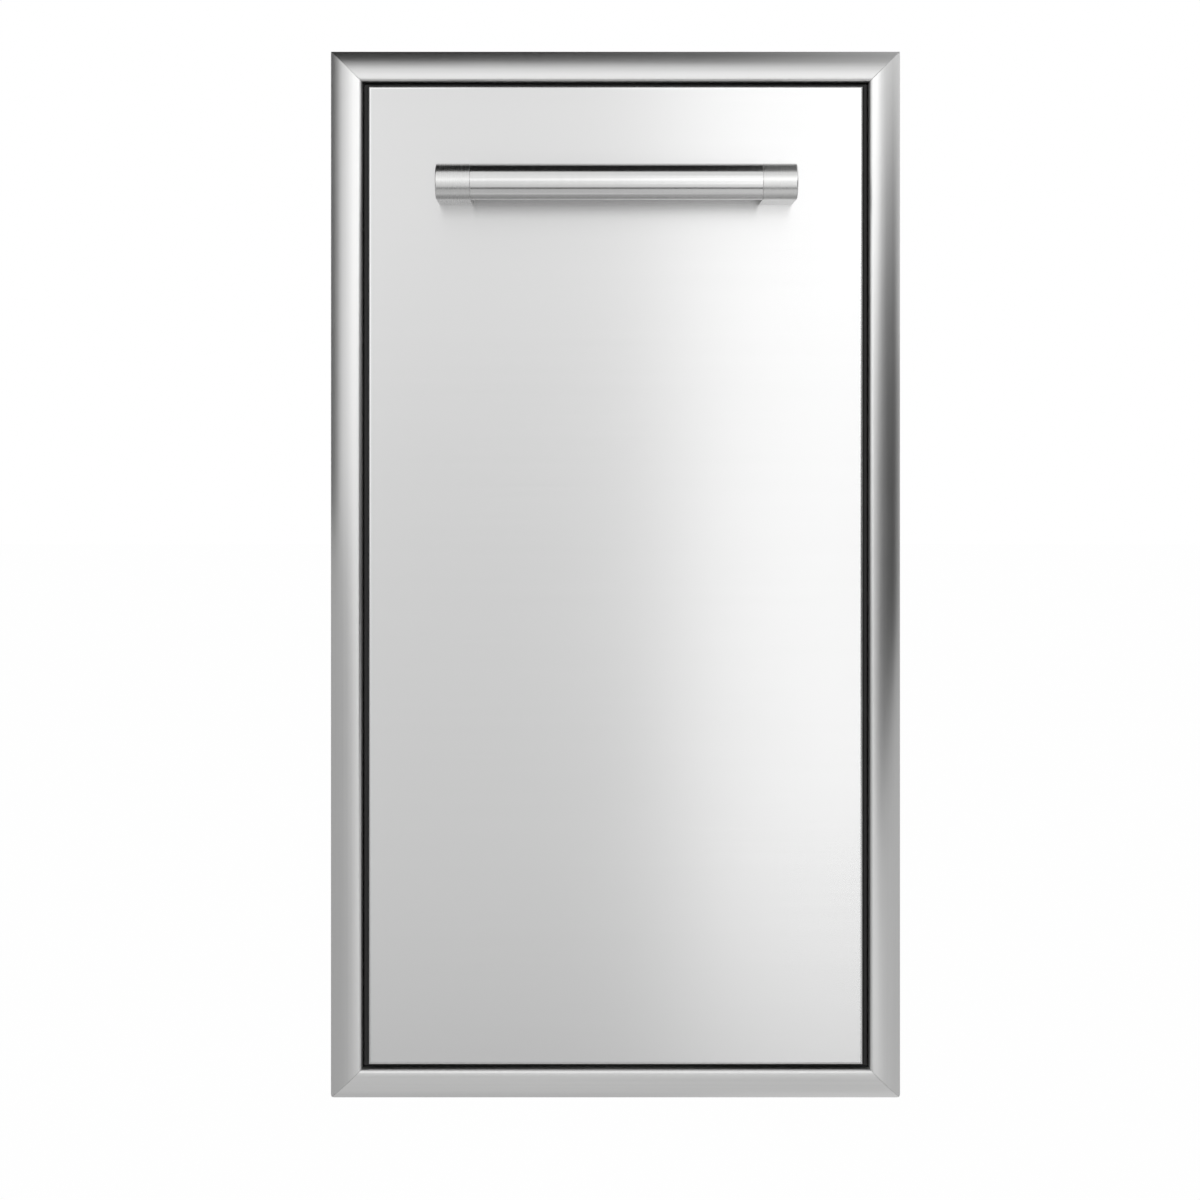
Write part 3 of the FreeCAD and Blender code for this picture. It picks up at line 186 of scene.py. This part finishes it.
def trim(spot, normal):
    """Cut away all that lies in front of a plane, and close the cut."""
    bpy.ops.mesh.select_all(action="SELECT")
    bpy.ops.mesh.bisect(plane_co=spot, plane_no=normal, use_fill=True, clear_outer=True)


def done(piece, node, body, finish):
    """Close a drawn piece: even normals, finish, and its place in the frame."""
    bpy.ops.mesh.select_all(action="SELECT")
    bpy.ops.mesh.normals_make_consistent(inside=False)
    bpy.ops.object.mode_set(mode="OBJECT")
    bpy.ops.object.shade_smooth_by_angle(angle=math.radians(SMOOTH_ANGLE))
    modify("WEIGHTED_NORMAL", keep_sharp=True)
    bpy.ops.object.mode_set(mode="OBJECT")
    piece.data.materials.append(finish)
    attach(piece, body)
    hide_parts(node)


def draw_rail(node, outer, half, turn, far_round, near_round, finish):
    """One length of the bezel: its section drawn beside +X, run along Z, mitred and turned about Y."""
    low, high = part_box("bezel_right_stile")
    proud = -low.y
    stop = high.y - SHEET
    width = high.x - low.x - STOP_FLANGE
    run = width - RAIL_BEND
    rise = proud - RAIL_LIP
    sweep = (run ** 2 + rise ** 2) / (2 * rise)
    start = (outer - WALL_FLANGE, 0, -half)
    piece = begin(f"{node}_sheet", bpy.ops.mesh.primitive_plane_add, size=SHEET, location=start)
    bpy.ops.mesh.merge(type="CENTER")
    line(WALL_FLANGE, 0, 0)
    line(0, -RAIL_LIP, 0)
    arc(math.asin(run / sweep), CROWN_STEPS, outer - run, sweep - proud, -half)
    arc(math.pi / 2, RAIL_BEND_STEPS, outer - run, RAIL_BEND - proud, -half)
    line(0, stop - STOP_BEND + proud - RAIL_BEND, 0)
    arc(-math.pi / 2, STOP_BEND_STEPS, outer - width - STOP_BEND, stop - STOP_BEND, -half)
    line(STOP_BEND - STOP_FLANGE, 0, 0)
    bpy.ops.mesh.select_all(action="SELECT")
    bpy.ops.mesh.remove_doubles(threshold=TOUCH)
    bpy.ops.mesh.extrude_region_move(TRANSFORM_OT_translate={"value": (0, 0, 2 * half)})
    bpy.ops.mesh.select_all(action="SELECT")
    bpy.ops.mesh.normals_make_consistent(inside=False)
    crest = min(drawn().faces, key=lambda face: middle(face).y)
    if crest.normal.y > 0:
        bpy.ops.mesh.flip_normals()
    modify("SOLIDIFY", thickness=SHEET, offset=-1, use_even_offset=True)
    for end, radius in ((1, far_round), (-1, near_round)):
        corner = Vector((outer, 0, end * half))
        across = Vector((-1, 0, end)).normalized()
        trim(corner, across)
        choose("EDGE", lambda edge: all(abs((v.co - corner).dot(across)) < TOUCH for v in edge.verts))
        bpy.ops.mesh.bevel(offset=SEAM, segments=SEAM_STEPS, affect="EDGES")
        centre = corner - radius * Vector((1, 0, end))
        for cut in CORNER_CUTS:
            angle = math.radians(cut)
            way = Vector((math.cos(angle), 0, end * math.sin(angle)))
            trim(centre + radius * way, way)
    bpy.ops.mesh.select_all(action="SELECT")
    bpy.ops.transform.rotate(value=turn, orient_axis="Y", center_override=(0, 0, 0))
    done(piece, node, "cabinet", finish)


def draw_bezel(upright, level):
    """The four lengths of the bezel, with one finish for the upright and one for the level ones."""
    half_x = cad_high.x
    half_z = cad_high.z
    draw_rail("bezel_right_stile", half_x, half_z, 0, TOP_CORNER, LOW_CORNER, upright)
    draw_rail("bezel_left_stile", half_x, half_z, math.pi, LOW_CORNER, TOP_CORNER, upright)
    draw_rail("bezel_top_rail", half_z, half_x, math.pi / 2, TOP_CORNER, TOP_CORNER, level)
    draw_rail("bezel_bottom_rail", half_z, half_x, -math.pi / 2, LOW_CORNER, LOW_CORNER, level)


def draw_panel(finish):
    """The front's bent skin: an open tray of sheet with its edges turned back."""
    low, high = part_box("front_panel")
    piece = begin(
        "front_panel_sheet", bpy.ops.mesh.primitive_cube_add,
        size=1, location=(low + high) / 2, scale=high - low,
    )
    choose("FACE", lambda face: face.normal.y > FACING)
    bpy.ops.mesh.delete(type="FACE")
    choose("EDGE", lambda edge: all(v.co.y < low.y + TOUCH for v in edge.verts))
    bpy.ops.mesh.bevel(offset=PANEL_BEND, segments=PANEL_BEND_STEPS, affect="EDGES")
    choose("FACE", lambda face: face.normal.y < -FLAT)
    bpy.ops.mesh.inset(thickness=SHEET)
    modify("SOLIDIFY", thickness=SHEET, offset=-1, use_even_offset=True)
    done(piece, "front_panel", "drawer", finish)


def draw_bar(finish):
    """The handle's tube, with a bore at each end and its edges broken."""
    low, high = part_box("handle_bar")
    centre = (low + high) / 2
    radius = (high.z - low.z) / 2
    piece = begin(
        "handle_bar_tube", bpy.ops.mesh.primitive_cylinder_add,
        vertices=TUBE_SIDES, radius=radius, depth=high.x - low.x,
        location=centre, rotation=(0, math.pi / 2, 0),
    )
    for side in (1, -1):
        choose("FACE", lambda face: face.normal.x * side > FACING)
        bpy.ops.mesh.inset(thickness=TUBE_WALL)
        inward = (-side * BORE_DEPTH * radius, 0, 0)
        bpy.ops.mesh.extrude_region_move(TRANSFORM_OT_translate={"value": inward})

    def at_rim(edge):
        reach = Vector((0, middle(edge).y - centre.y, middle(edge).z - centre.z)).length
        ends = all(abs(abs(v.co.x) - high.x) < TOUCH for v in edge.verts)
        return ends and reach > radius * NEAR_RIM

    choose("EDGE", at_rim)
    bpy.ops.mesh.bevel(offset=SEAM, segments=SEAM_STEPS, affect="EDGES")
    done(piece, "handle_bar", "drawer", finish)


def draw_end(name, side, finish):
    """An end block of the handle: half round at the front, flat where it stands on the skin."""
    low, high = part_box(f"handle_end_{name}")
    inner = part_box("handle_bar")[1].x
    outer = max(high.x, -low.x)
    radius = (high.z - low.z) / 2
    level = (low.z + high.z) / 2
    piece = begin(
        f"handle_end_{name}_block", bpy.ops.mesh.primitive_cube_add,
        size=1, location=(side * (inner + outer) / 2, (low.y + high.y) / 2, level),
        scale=(outer - inner, high.y - low.y, high.z - low.z),
    )

    def at_front(edge):
        ahead = all(v.co.y < low.y + TOUCH for v in edge.verts)
        return ahead and abs(middle(edge).z - level) > CLEAR

    def round_end(edge, x):
        beside = all(abs(v.co.x - x) < TOUCH for v in edge.verts)
        return beside and middle(edge).y < high.y - WELD

    choose("EDGE", at_front)
    bpy.ops.mesh.bevel(offset=radius * HALF_ROUND, segments=END_STEPS, affect="EDGES")
    bpy.ops.mesh.select_all(action="SELECT")
    bpy.ops.mesh.remove_doubles(threshold=WELD)
    choose("EDGE", lambda edge: round_end(edge, side * outer))
    bpy.ops.mesh.bevel(offset=END_RIM, segments=END_RIM_STEPS, affect="EDGES")
    choose("EDGE", lambda edge: round_end(edge, side * inner))
    bpy.ops.mesh.bevel(offset=SEAM, segments=SEAM_STEPS, affect="EDGES")
    done(piece, f"handle_end_{name}", "drawer", finish)


def rounding(inset, height, radius, start, end):
    """Points of a round in the bin's section; 0 degrees points into the bin and 90 degrees up."""
    stride = (end - start) / BIN_ROUND_STEPS
    angles = [math.radians(start + stride * step) for step in range(BIN_ROUND_STEPS + 1)]
    return [(inset + radius * math.cos(angle), height + radius * math.sin(angle)) for angle in angles]


def bin_section(tall):
    """Insets from the bin's tapered wall and heights: from under the foot over the rim to the floor."""
    band = tall - BIN_BAND
    band_top = band + 2 * BIN_STEP
    lip = tall - BIN_SKIRT
    skirt = BIN_WALL - BIN_RIM
    mouth = BIN_WALL - BIN_STEP
    return [
        (BIN_FOOT + BIN_RECESS, BIN_RECESS),
        (BIN_FOOT, HAIR),
        *rounding(BIN_FOOT_ROUND, BIN_FOOT_ROUND, BIN_FOOT_ROUND, 270, 180),
        (0, band),
        (-BIN_STEP, band_top),
        (-BIN_STEP, tall - BIN_RIM_THICK - BIN_EASE),
        (skirt, tall - BIN_RIM_THICK),
        (skirt, lip + 2 * BIN_EASE),
        (skirt - BIN_EASE, lip + HAIR),
        (BIN_EASE - BIN_RIM, lip),
        (-BIN_RIM, lip + BIN_EASE),
        *rounding(BIN_RIM_ROUND - BIN_RIM, tall - BIN_RIM_ROUND, BIN_RIM_ROUND, 180, 90),
        *rounding(mouth - BIN_MOUTH_ROUND, tall - HAIR - BIN_MOUTH_ROUND, BIN_MOUTH_ROUND, 90, 0),
        (mouth, band_top - HAIR),
        (BIN_WALL, band - HAIR),
        *rounding(BIN_WALL + BIN_FLOOR_ROUND, BIN_FLOOR + BIN_FLOOR_ROUND, BIN_FLOOR_ROUND, 180, 270),
    ]


def on_level(edge, level):
    """Whether an edge lies at one height."""
    return all(abs(v.co.z - level) < TOUCH for v in edge.verts)


def draw_bin(finish):
    """The moulded bin: rounded foot, tapered wall with a step, and a rim with a skirt."""
    low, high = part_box("trash_bin")
    centre = (low + high) / 2
    size = high - low
    base = Vector((BIN_BASE_WIDTH, BIN_BASE_LENGTH, BIN_BASE_CORNER))
    top = Vector((size.x - 2 * BIN_RIM, size.y - 2 * BIN_RIM, BIN_TOP_CORNER))
    section = bin_section(size.z)
    piece = begin("trash_bin_moulding", bpy.ops.mesh.primitive_plane_add, size=1, location=centre)
    bpy.ops.mesh.delete(type="VERT")
    for inset, height in section:
        width, length, corner = base.lerp(top, height / size.z)
        spot = (centre.x, centre.y, low.z + height)
        bpy.ops.mesh.primitive_plane_add(size=1, location=spot)
        bpy.ops.transform.resize(value=(width - 2 * inset, length - 2 * inset, 1), center_override=spot)
        bpy.ops.mesh.bevel(offset=corner - inset, segments=BIN_CORNER_STEPS, affect="VERTICES")
        bpy.ops.mesh.delete(type="ONLY_FACE")
    levels = [low.z + height for _, height in section]
    for pair in zip(levels, levels[1:]):
        choose("EDGE", lambda edge: any(on_level(edge, level) for level in pair))
        bpy.ops.mesh.bridge_edge_loops()
    for level in (levels[0], levels[-1]):
        choose("EDGE", lambda edge: on_level(edge, level))
        bpy.ops.mesh.edge_face_add()
    done(piece, "trash_bin", "bin", finish)


# Finishes

# Brushed steel: the shares of its noises in the tone, and how far they carry the roughness
FINE_TONE = 0.45
BROAD_TONE = 0.3
CLOUD_TONE = 0.25
FINE_ROUGH = 0.06
CLOUD_ROUGH = 0.04
# Its broad streaks are scaled down from the fine grain, and its clouds are the same everywhere
BROAD_SCALE = 0.15
STEEL_CLOUDS = (9, 9, 9)
# Plain metal: how far clouds and marks carry the roughness, and how strong the marks are
SHEET_CLOUD_ROUGH = 0.1
MARK_ROUGH = 0.06
MARK_RELIEF = 0.025
# Rubber and plastic: shares in the tone, how far clouds carry the roughness, and their scale
PLASTIC_CLOUD_TONE = 0.6
PEBBLE_TONE = 0.4
PLASTIC_CLOUD_ROUGH = 0.12
PLASTIC_CLOUDS = (30, 30, 30)
# Heights of the relief at full strength, in metres
GRAIN_HEIGHT = 0.0002
PEBBLE_HEIGHT = 0.0003


class Wire:
    """A shader socket that can be reckoned with."""

    def __init__(self, tree, socket):
        self.tree = tree
        self.socket = socket

    def add(self, kind, feeds, output=0, **settings):
        """A new node of any kind; its inputs are fed wires or plain values, by name or number."""
        node = self.tree.nodes.new("ShaderNode" + kind)
        for name, setting in settings.items():
            setattr(node, name, setting)
        for key, feed in feeds.items():
            if isinstance(feed, Wire):
                self.tree.links.new(feed.socket, node.inputs[key])
            else:
                node.inputs[key].default_value = feed
        return Wire(self.tree, node.outputs[output]) if node.outputs else None

    def reckon(self, operation, one, other):
        return self.add("Math", {0: one, 1: other}, operation=operation)

    def __add__(self, other):
        return self.reckon("ADD", self, other)

    def __rsub__(self, other):
        return self.reckon("SUBTRACT", other, self)

    def __mul__(self, other):
        return self.reckon("MULTIPLY", self, other)

    def __truediv__(self, other):
        return self.reckon("DIVIDE", self, other)

    def __rtruediv__(self, other):
        return self.reckon("DIVIDE", other, self)


def new_material(name):
    """An empty material and the place of each point on it, in metres."""
    material = bpy.data.materials.new(name)
    material.use_nodes = True
    tree = material.node_tree
    tree.nodes.clear()
    return material, Wire(tree, tree.nodes.new("ShaderNodeTexCoord").outputs["Object"])


def noise(place, stretch, detail=2.0):
    """Noise from 0 to 1, with its own scale along each axis."""
    spread = place.add("Mapping", {"Vector": place, "Scale": stretch})
    return spread.add("TexNoise", {"Vector": spread, "Scale": 1.0, "Detail": detail})


def blend(factor, one, other):
    """A colour between two; the node's inputs 6 and 7 and its output 2 are the ones for colours."""
    return factor.add("Mix", {0: factor, 6: (*one, 1), 7: (*other, 1)}, output=2, data_type="RGBA")


def raised(height, strength, distance):
    """A normal tilted by a relief."""
    return height.add("Bump", {"Strength": strength, "Distance": distance, "Height": height})


def brushed_steel(name, stretch, dark, light, roughness, anisotropy, turn, relief):
    """Steel with a grain drawn out along one axis."""
    material, place = new_material(name)
    fine = noise(place, stretch)
    broad = noise(place, tuple(BROAD_SCALE * scale for scale in stretch))
    cloud = noise(place, STEEL_CLOUDS, detail=3.0)
    smoothest = roughness - (FINE_ROUGH + CLOUD_ROUGH) / 2
    surface = place.add("BsdfPrincipled", {
        "Base Color": blend(fine * FINE_TONE + broad * BROAD_TONE + cloud * CLOUD_TONE, dark, light),
        "Metallic": 1.0,
        "Roughness": fine * FINE_ROUGH + cloud * CLOUD_ROUGH + smoothest,
        "Anisotropic": anisotropy,
        "Anisotropic Rotation": turn,
        "Normal": raised(fine, relief, GRAIN_HEIGHT),
    })
    place.add("OutputMaterial", {"Surface": surface})
    return material


def plain_metal(name, dark, light, roughness, cloudiness, marks):
    """Sheet, strip or turned metal: soft clouds under fine marks, which may run one way."""
    material, place = new_material(name)
    cloud = noise(place, (cloudiness, cloudiness, cloudiness), detail=4.0)
    fleck = noise(place, marks)
    smoothest = roughness - (SHEET_CLOUD_ROUGH + MARK_ROUGH) / 2
    surface = place.add("BsdfPrincipled", {
        "Base Color": blend(cloud * 0.5 + fleck * 0.5, dark, light),
        "Metallic": 1.0,
        "Roughness": cloud * SHEET_CLOUD_ROUGH + fleck * MARK_ROUGH + smoothest,
        "Normal": raised(fleck, MARK_RELIEF, GRAIN_HEIGHT),
    })
    place.add("OutputMaterial", {"Surface": surface})
    return material


def moulded(name, dark, light, roughness, grain, relief):
    """Rubber or plastic with a moulded grain."""
    material, place = new_material(name)
    cloud = noise(place, PLASTIC_CLOUDS, detail=3.0)
    pebble = noise(place, (grain, grain, grain), detail=1.0)
    smoothest = roughness - PLASTIC_CLOUD_ROUGH / 2
    surface = place.add("BsdfPrincipled", {
        "Base Color": blend(cloud * PLASTIC_CLOUD_TONE + pebble * PEBBLE_TONE, dark, light),
        "Roughness": cloud * PLASTIC_CLOUD_ROUGH + smoothest,
        "Normal": raised(pebble, relief, PEBBLE_HEIGHT),
    })
    place.add("OutputMaterial", {"Surface": surface})
    return material


FINISHES = {
    "bezel_steel": brushed_steel(
        "brushed_bezel", stretch=(600, 600, 3), dark=(0.61, 0.61, 0.607), light=(0.75, 0.75, 0.747),
        roughness=0.33, anisotropy=0.8, turn=0.0, relief=0.08,
    ),
    "panel_steel": brushed_steel(
        "brushed_panel", stretch=(6, 900, 900), dark=(0.61, 0.61, 0.61), light=(0.65, 0.65, 0.65),
        roughness=0.235, anisotropy=0.75, turn=0.25, relief=0.04,
    ),
    "handle_steel": brushed_steel(
        "satin_handle", stretch=(1200, 40, 40), dark=(0.64, 0.64, 0.637), light=(0.7, 0.7, 0.697),
        roughness=0.19, anisotropy=0.5, turn=0.0, relief=0.01,
    ),
    "chassis_steel": plain_metal(
        "rolled_sheet", dark=(0.53, 0.53, 0.53), light=(0.61, 0.61, 0.605),
        roughness=0.36, cloudiness=14, marks=(700, 12, 700),
    ),
    "slide_zinc": plain_metal(
        "drawn_zinc", dark=(0.61, 0.625, 0.64), light=(0.68, 0.69, 0.7),
        roughness=0.28, cloudiness=25, marks=(900, 10, 900),
    ),
    "cage_steel": plain_metal(
        "pressed_strip", dark=(0.42, 0.42, 0.42), light=(0.55, 0.55, 0.54),
        roughness=0.34, cloudiness=90, marks=(1000, 60, 1000),
    ),
    "ball_steel": plain_metal(
        "polished_ball", dark=(0.7, 0.7, 0.7), light=(0.8, 0.8, 0.8),
        roughness=0.12, cloudiness=200, marks=(2400, 2400, 2400),
    ),
    "rivet_steel": plain_metal(
        "bright_rivet", dark=(0.55, 0.55, 0.55), light=(0.7, 0.7, 0.7),
        roughness=0.26, cloudiness=200, marks=(2400, 2400, 2400),
    ),
    "screw_steel": plain_metal(
        "bright_screw", dark=(0.5, 0.5, 0.5), light=(0.66, 0.66, 0.65),
        roughness=0.26, cloudiness=200, marks=(2400, 2400, 2400),
    ),
    "gasket_rubber": moulded(
        "gasket_rubber", dark=(0.012, 0.012, 0.012), light=(0.03, 0.03, 0.03),
        roughness=0.7, grain=900, relief=0.2,
    ),
    "plug_plastic": moulded(
        "plug_plastic", dark=(0.02, 0.02, 0.02), light=(0.045, 0.045, 0.045),
        roughness=0.5, grain=1200, relief=0.15,
    ),
    "lever_plastic": moulded(
        "lever_plastic", dark=(0.02, 0.02, 0.02), light=(0.045, 0.045, 0.045),
        roughness=0.45, grain=1200, relief=0.15,
    ),
    "bin_plastic": moulded(
        "bin_plastic", dark=(0.07, 0.073, 0.078), light=(0.11, 0.114, 0.12),
        roughness=0.5, grain=1400, relief=0.3,
    ),
}
LEVEL_BEZEL = brushed_steel(
    "brushed_rail", stretch=(3, 600, 600), dark=(0.61, 0.61, 0.607), light=(0.75, 0.75, 0.747),
    roughness=0.43, anisotropy=0.3, turn=0.25, relief=0.08,
)
TURNED_END = brushed_steel(
    "turned_end", stretch=(6000, 60, 60), dark=(0.63, 0.63, 0.625), light=(0.69, 0.69, 0.685),
    roughness=0.28, anisotropy=0.3, turn=0.0, relief=0.002,
)


# Studio

FLOOR_LEVEL = -0.8
FLOOR_SIZE = 40
# The upper edge of the flags, and the level of the one overhead
FLAG_TOP = 1.2
# How bright the floor is to the camera, and how much of it glows instead of taking light
FLOOR_WHITE = 1.04
FLOOR_GLOW = 0.9
# In the metal the floor is dimmer near the part and brighter to the right
FLOOR_DIM = 0.2
FLOOR_DIM_NEAR = 0.18
FLOOR_NEAREST = 1.0
FLOOR_RIGHT_START = 0.02
FLOOR_RIGHT_END = 0.15
FLOOR_RIGHT_GAIN = 1.37
# Light of the world on matt surfaces; the camera and the metal see it at full strength
WORLD_FILL = 0.7
# Where the overhead flag starts to grow brighter to the right, and where it stops
GROWTH_START = 0.19
GROWTH_END = 0.45

SENSOR = 36
LENS = 72.19
SHIFT_RIGHT = 0.0125
SHIFT_UP = -0.129
CAMERA_PLACE = (-0.0204, -1.6135, 0.0866)


def lying(level, left, right, front, back):
    """Corners of a level sheet."""
    return ((left, front, level), (right, front, level), (left, back, level), (right, back, level))


def beside(x, front, back, front_low, back_low, top):
    """Corners of an upright sheet at one side of the part."""
    return ((x, front, front_low), (x, back, back_low), (x, front, top), (x, back, top))


def facing(y, left, right, left_low, right_low, top):
    """Corners of an upright sheet before the part."""
    return ((left, y, left_low), (right, y, right_low), (left, y, top), (right, y, top))


def card(name, corners, glow):
    """A flat sheet that only shows in glossy surfaces; glow gives its brightness from a place on it."""
    bpy.ops.object.select_all(action="DESELECT")
    bpy.ops.mesh.primitive_plane_add(size=1)
    sheet = bpy.context.active_object
    sheet.name = name
    for vert, corner in zip(sheet.data.vertices, corners):
        vert.co = corner
    material, place = new_material(name)
    light = place.add("Emission", {"Color": glow(place), "Strength": 1.0})
    place.add("OutputMaterial", {"Surface": light})
    sheet.data.materials.append(material)
    sheet.visible_camera = False
    sheet.visible_diffuse = False
    sheet.visible_shadow = False
    sheet.visible_transmission = False
    sheet.visible_volume_scatter = False


def along(place, axis):
    """One coordinate of a place."""
    return place.add("SeparateXYZ", {0: place}, output=axis)


def ramp(value, start, end, low, high):
    """Carry a value from one range over to another, and hold it at the ends."""
    return value.add("MapRange", {0: value, 1: start, 2: end, 3: low, 4: high})


def rising(base, rate, most):
    """A glow that grows with height, from its value at the origin's level."""
    def glow(place):
        grown = place.reckon("POWER", math.e, along(place, "Z") * rate) * base
        return place.reckon("MINIMUM", grown, most)
    return glow


def rightward(base, most):
    """A glow that grows to the right of the middle."""
    return lambda place: ramp(along(place, "X"), GROWTH_START, GROWTH_END, base, most)


def even(base):
    """A glow that is the same all over."""
    return lambda place: (base, base, base, 1)


def light_path(place):
    """Whether a ray comes from the camera, from a glossy surface or through something clear: 0 or 1."""
    seen = place.add("LightPath", {}, output="Is Camera Ray")
    mirrored = place.add("LightPath", {}, output="Is Glossy Ray")
    passed = place.add("LightPath", {}, output="Is Transmission Ray")
    return seen, mirrored, passed


def lay_floor():
    """A pale floor, which is white to the camera and has a glow of its own in the metal."""
    bpy.ops.object.select_all(action="DESELECT")
    bpy.ops.mesh.primitive_plane_add(size=FLOOR_SIZE, location=(0, 0, FLOOR_LEVEL))
    floor = bpy.context.active_object
    floor.name = "floor"
    bpy.ops.object.transform_apply(location=True, rotation=True, scale=True)
    material, place = new_material("pale_floor")
    cloud = noise(place, (2, 2, 2))
    seen, mirrored, passed = light_path(place)
    matt = place.add("BsdfDiffuse", {"Color": blend(cloud, (0.8, 0.8, 0.8), (0.84, 0.84, 0.84))})
    ahead = place.reckon("MAXIMUM", along(place, "Y") * -1, FLOOR_NEAREST)
    slant = along(place, "X") / ahead
    right = ramp(slant, FLOOR_RIGHT_START, FLOOR_RIGHT_END, 1.0, FLOOR_RIGHT_GAIN)
    dimming = FLOOR_DIM / ahead + FLOOR_DIM_NEAR / (ahead * ahead * ahead)
    glow = seen * FLOOR_WHITE + mirrored * (1 - dimming) * right + passed
    white = place.add("Emission", {"Color": glow, "Strength": 1.0})
    share = (seen + mirrored + passed) * FLOOR_GLOW
    whole = place.add("MixShader", {0: share, 1: matt, 2: white})
    place.add("OutputMaterial", {"Surface": whole})
    floor.data.materials.append(material)


def fill_world():
    """A white world, weaker as a light on matt surfaces than it looks."""
    world = bpy.data.worlds.new("studio")
    bpy.context.scene.world = world
    world.use_nodes = True
    tree = world.node_tree
    tree.nodes.clear()
    start = Wire(tree, None)
    seen, mirrored, passed = light_path(start)
    strength = (seen + mirrored + passed) * (1 - WORLD_FILL) + WORLD_FILL
    white = start.add("Background", {"Color": (1, 1, 1, 1), "Strength": strength})
    start.add("OutputWorld", {"Surface": white})


def softbox(name, place, aim, width, height, radiance):
    """A lamp with an even face of a given brightness, which the camera doesn't see."""
    lamp = bpy.data.lights.new(name, "AREA")
    lamp.shape = "RECTANGLE"
    lamp.size = width
    lamp.size_y = height
    lamp.energy = radiance * math.pi * width * height
    box = bpy.data.objects.new(name, lamp)
    bpy.context.scene.collection.objects.link(box)
    box.location = place
    box.rotation_euler = (Vector(aim) - Vector(place)).to_track_quat("-Z", "Y").to_euler()
    box.visible_camera = False


def set_camera():
    """A level camera before the front; its shift puts the part where the photo has it."""
    lens = bpy.data.cameras.new("camera")
    lens.sensor_width = SENSOR
    lens.lens = LENS
    lens.shift_x = SHIFT_RIGHT
    lens.shift_y = SHIFT_UP
    camera = bpy.data.objects.new("camera", lens)
    bpy.context.scene.collection.objects.link(camera)
    camera.location = CAMERA_PLACE
    camera.rotation_euler = (math.pi / 2, 0, 0)
    bpy.context.scene.camera = camera


draw_bezel(FINISHES["bezel_steel"], LEVEL_BEZEL)
draw_panel(FINISHES["panel_steel"])
draw_bar(FINISHES["handle_steel"])
draw_end("left", -1, TURNED_END)
draw_end("right", 1, TURNED_END)
draw_bin(FINISHES["bin_plastic"])
for part in frame["record"]["subparts"]:
    for slot in frame["nodes"][part["node"]].material_slots:
        slot.material = FINISHES[part["material_slot"]]

lay_floor()
fill_world()
card(
    "overhead_flag", lying(level=FLAG_TOP, left=-1.6, right=1.6, front=-0.56, back=2),
    rightward(base=0.01, most=1.0),
)
card(
    "left_flag", beside(x=-1.1, front=-0.2, back=1, front_low=0, back_low=0, top=FLAG_TOP),
    even(base=0.05),
)
card(
    "left_skirt",
    beside(x=-1.12, front=-2.4, back=1, front_low=FLOOR_LEVEL, back_low=FLOOR_LEVEL, top=0),
    even(base=0.52),
)
card(
    "right_flag", beside(x=1.1, front=-2.28, back=0.3, front_low=-0.52, back_low=-0.1, top=FLAG_TOP),
    rising(base=0.022, rate=7.5, most=1.0),
)
card(
    "front_flag", facing(y=-2.45, left=0.67, right=1.2, left_low=-0.72, right_low=-0.52, top=FLAG_TOP),
    rising(base=0.15, rate=6.5, most=3.0),
)
card(
    "right_skirt",
    beside(x=1.12, front=-2.4, back=1, front_low=FLOOR_LEVEL, back_low=FLOOR_LEVEL, top=0.2),
    even(base=0.65),
)
card(
    "floor_strip", lying(level=-0.79, left=-0.8, right=0.8, front=-1.2, back=-0.85),
    even(base=0.15),
)
card(
    "low_fill", lying(level=-0.42, left=-0.26, right=0.26, front=-0.16, back=0),
    even(base=0.72),
)
softbox(
    "right_softbox", place=(0.405, -2.5, 0.575), aim=(0.405, 0, 0.575),
    width=0.53, height=2.65, radiance=0.53,
)
softbox(
    "high_softbox", place=(0, -2.6, 0.62), aim=(0, 0, 0.62),
    width=2.6, height=0.65, radiance=0.28,
)
softbox(
    "left_softbox", place=(-1.1, -2.5, 0.825), aim=(-1.1, 0, 0.825),
    width=0.96, height=2.15, radiance=0.7,
)
set_camera()
bpy.context.scene.view_settings.view_transform = "Standard"
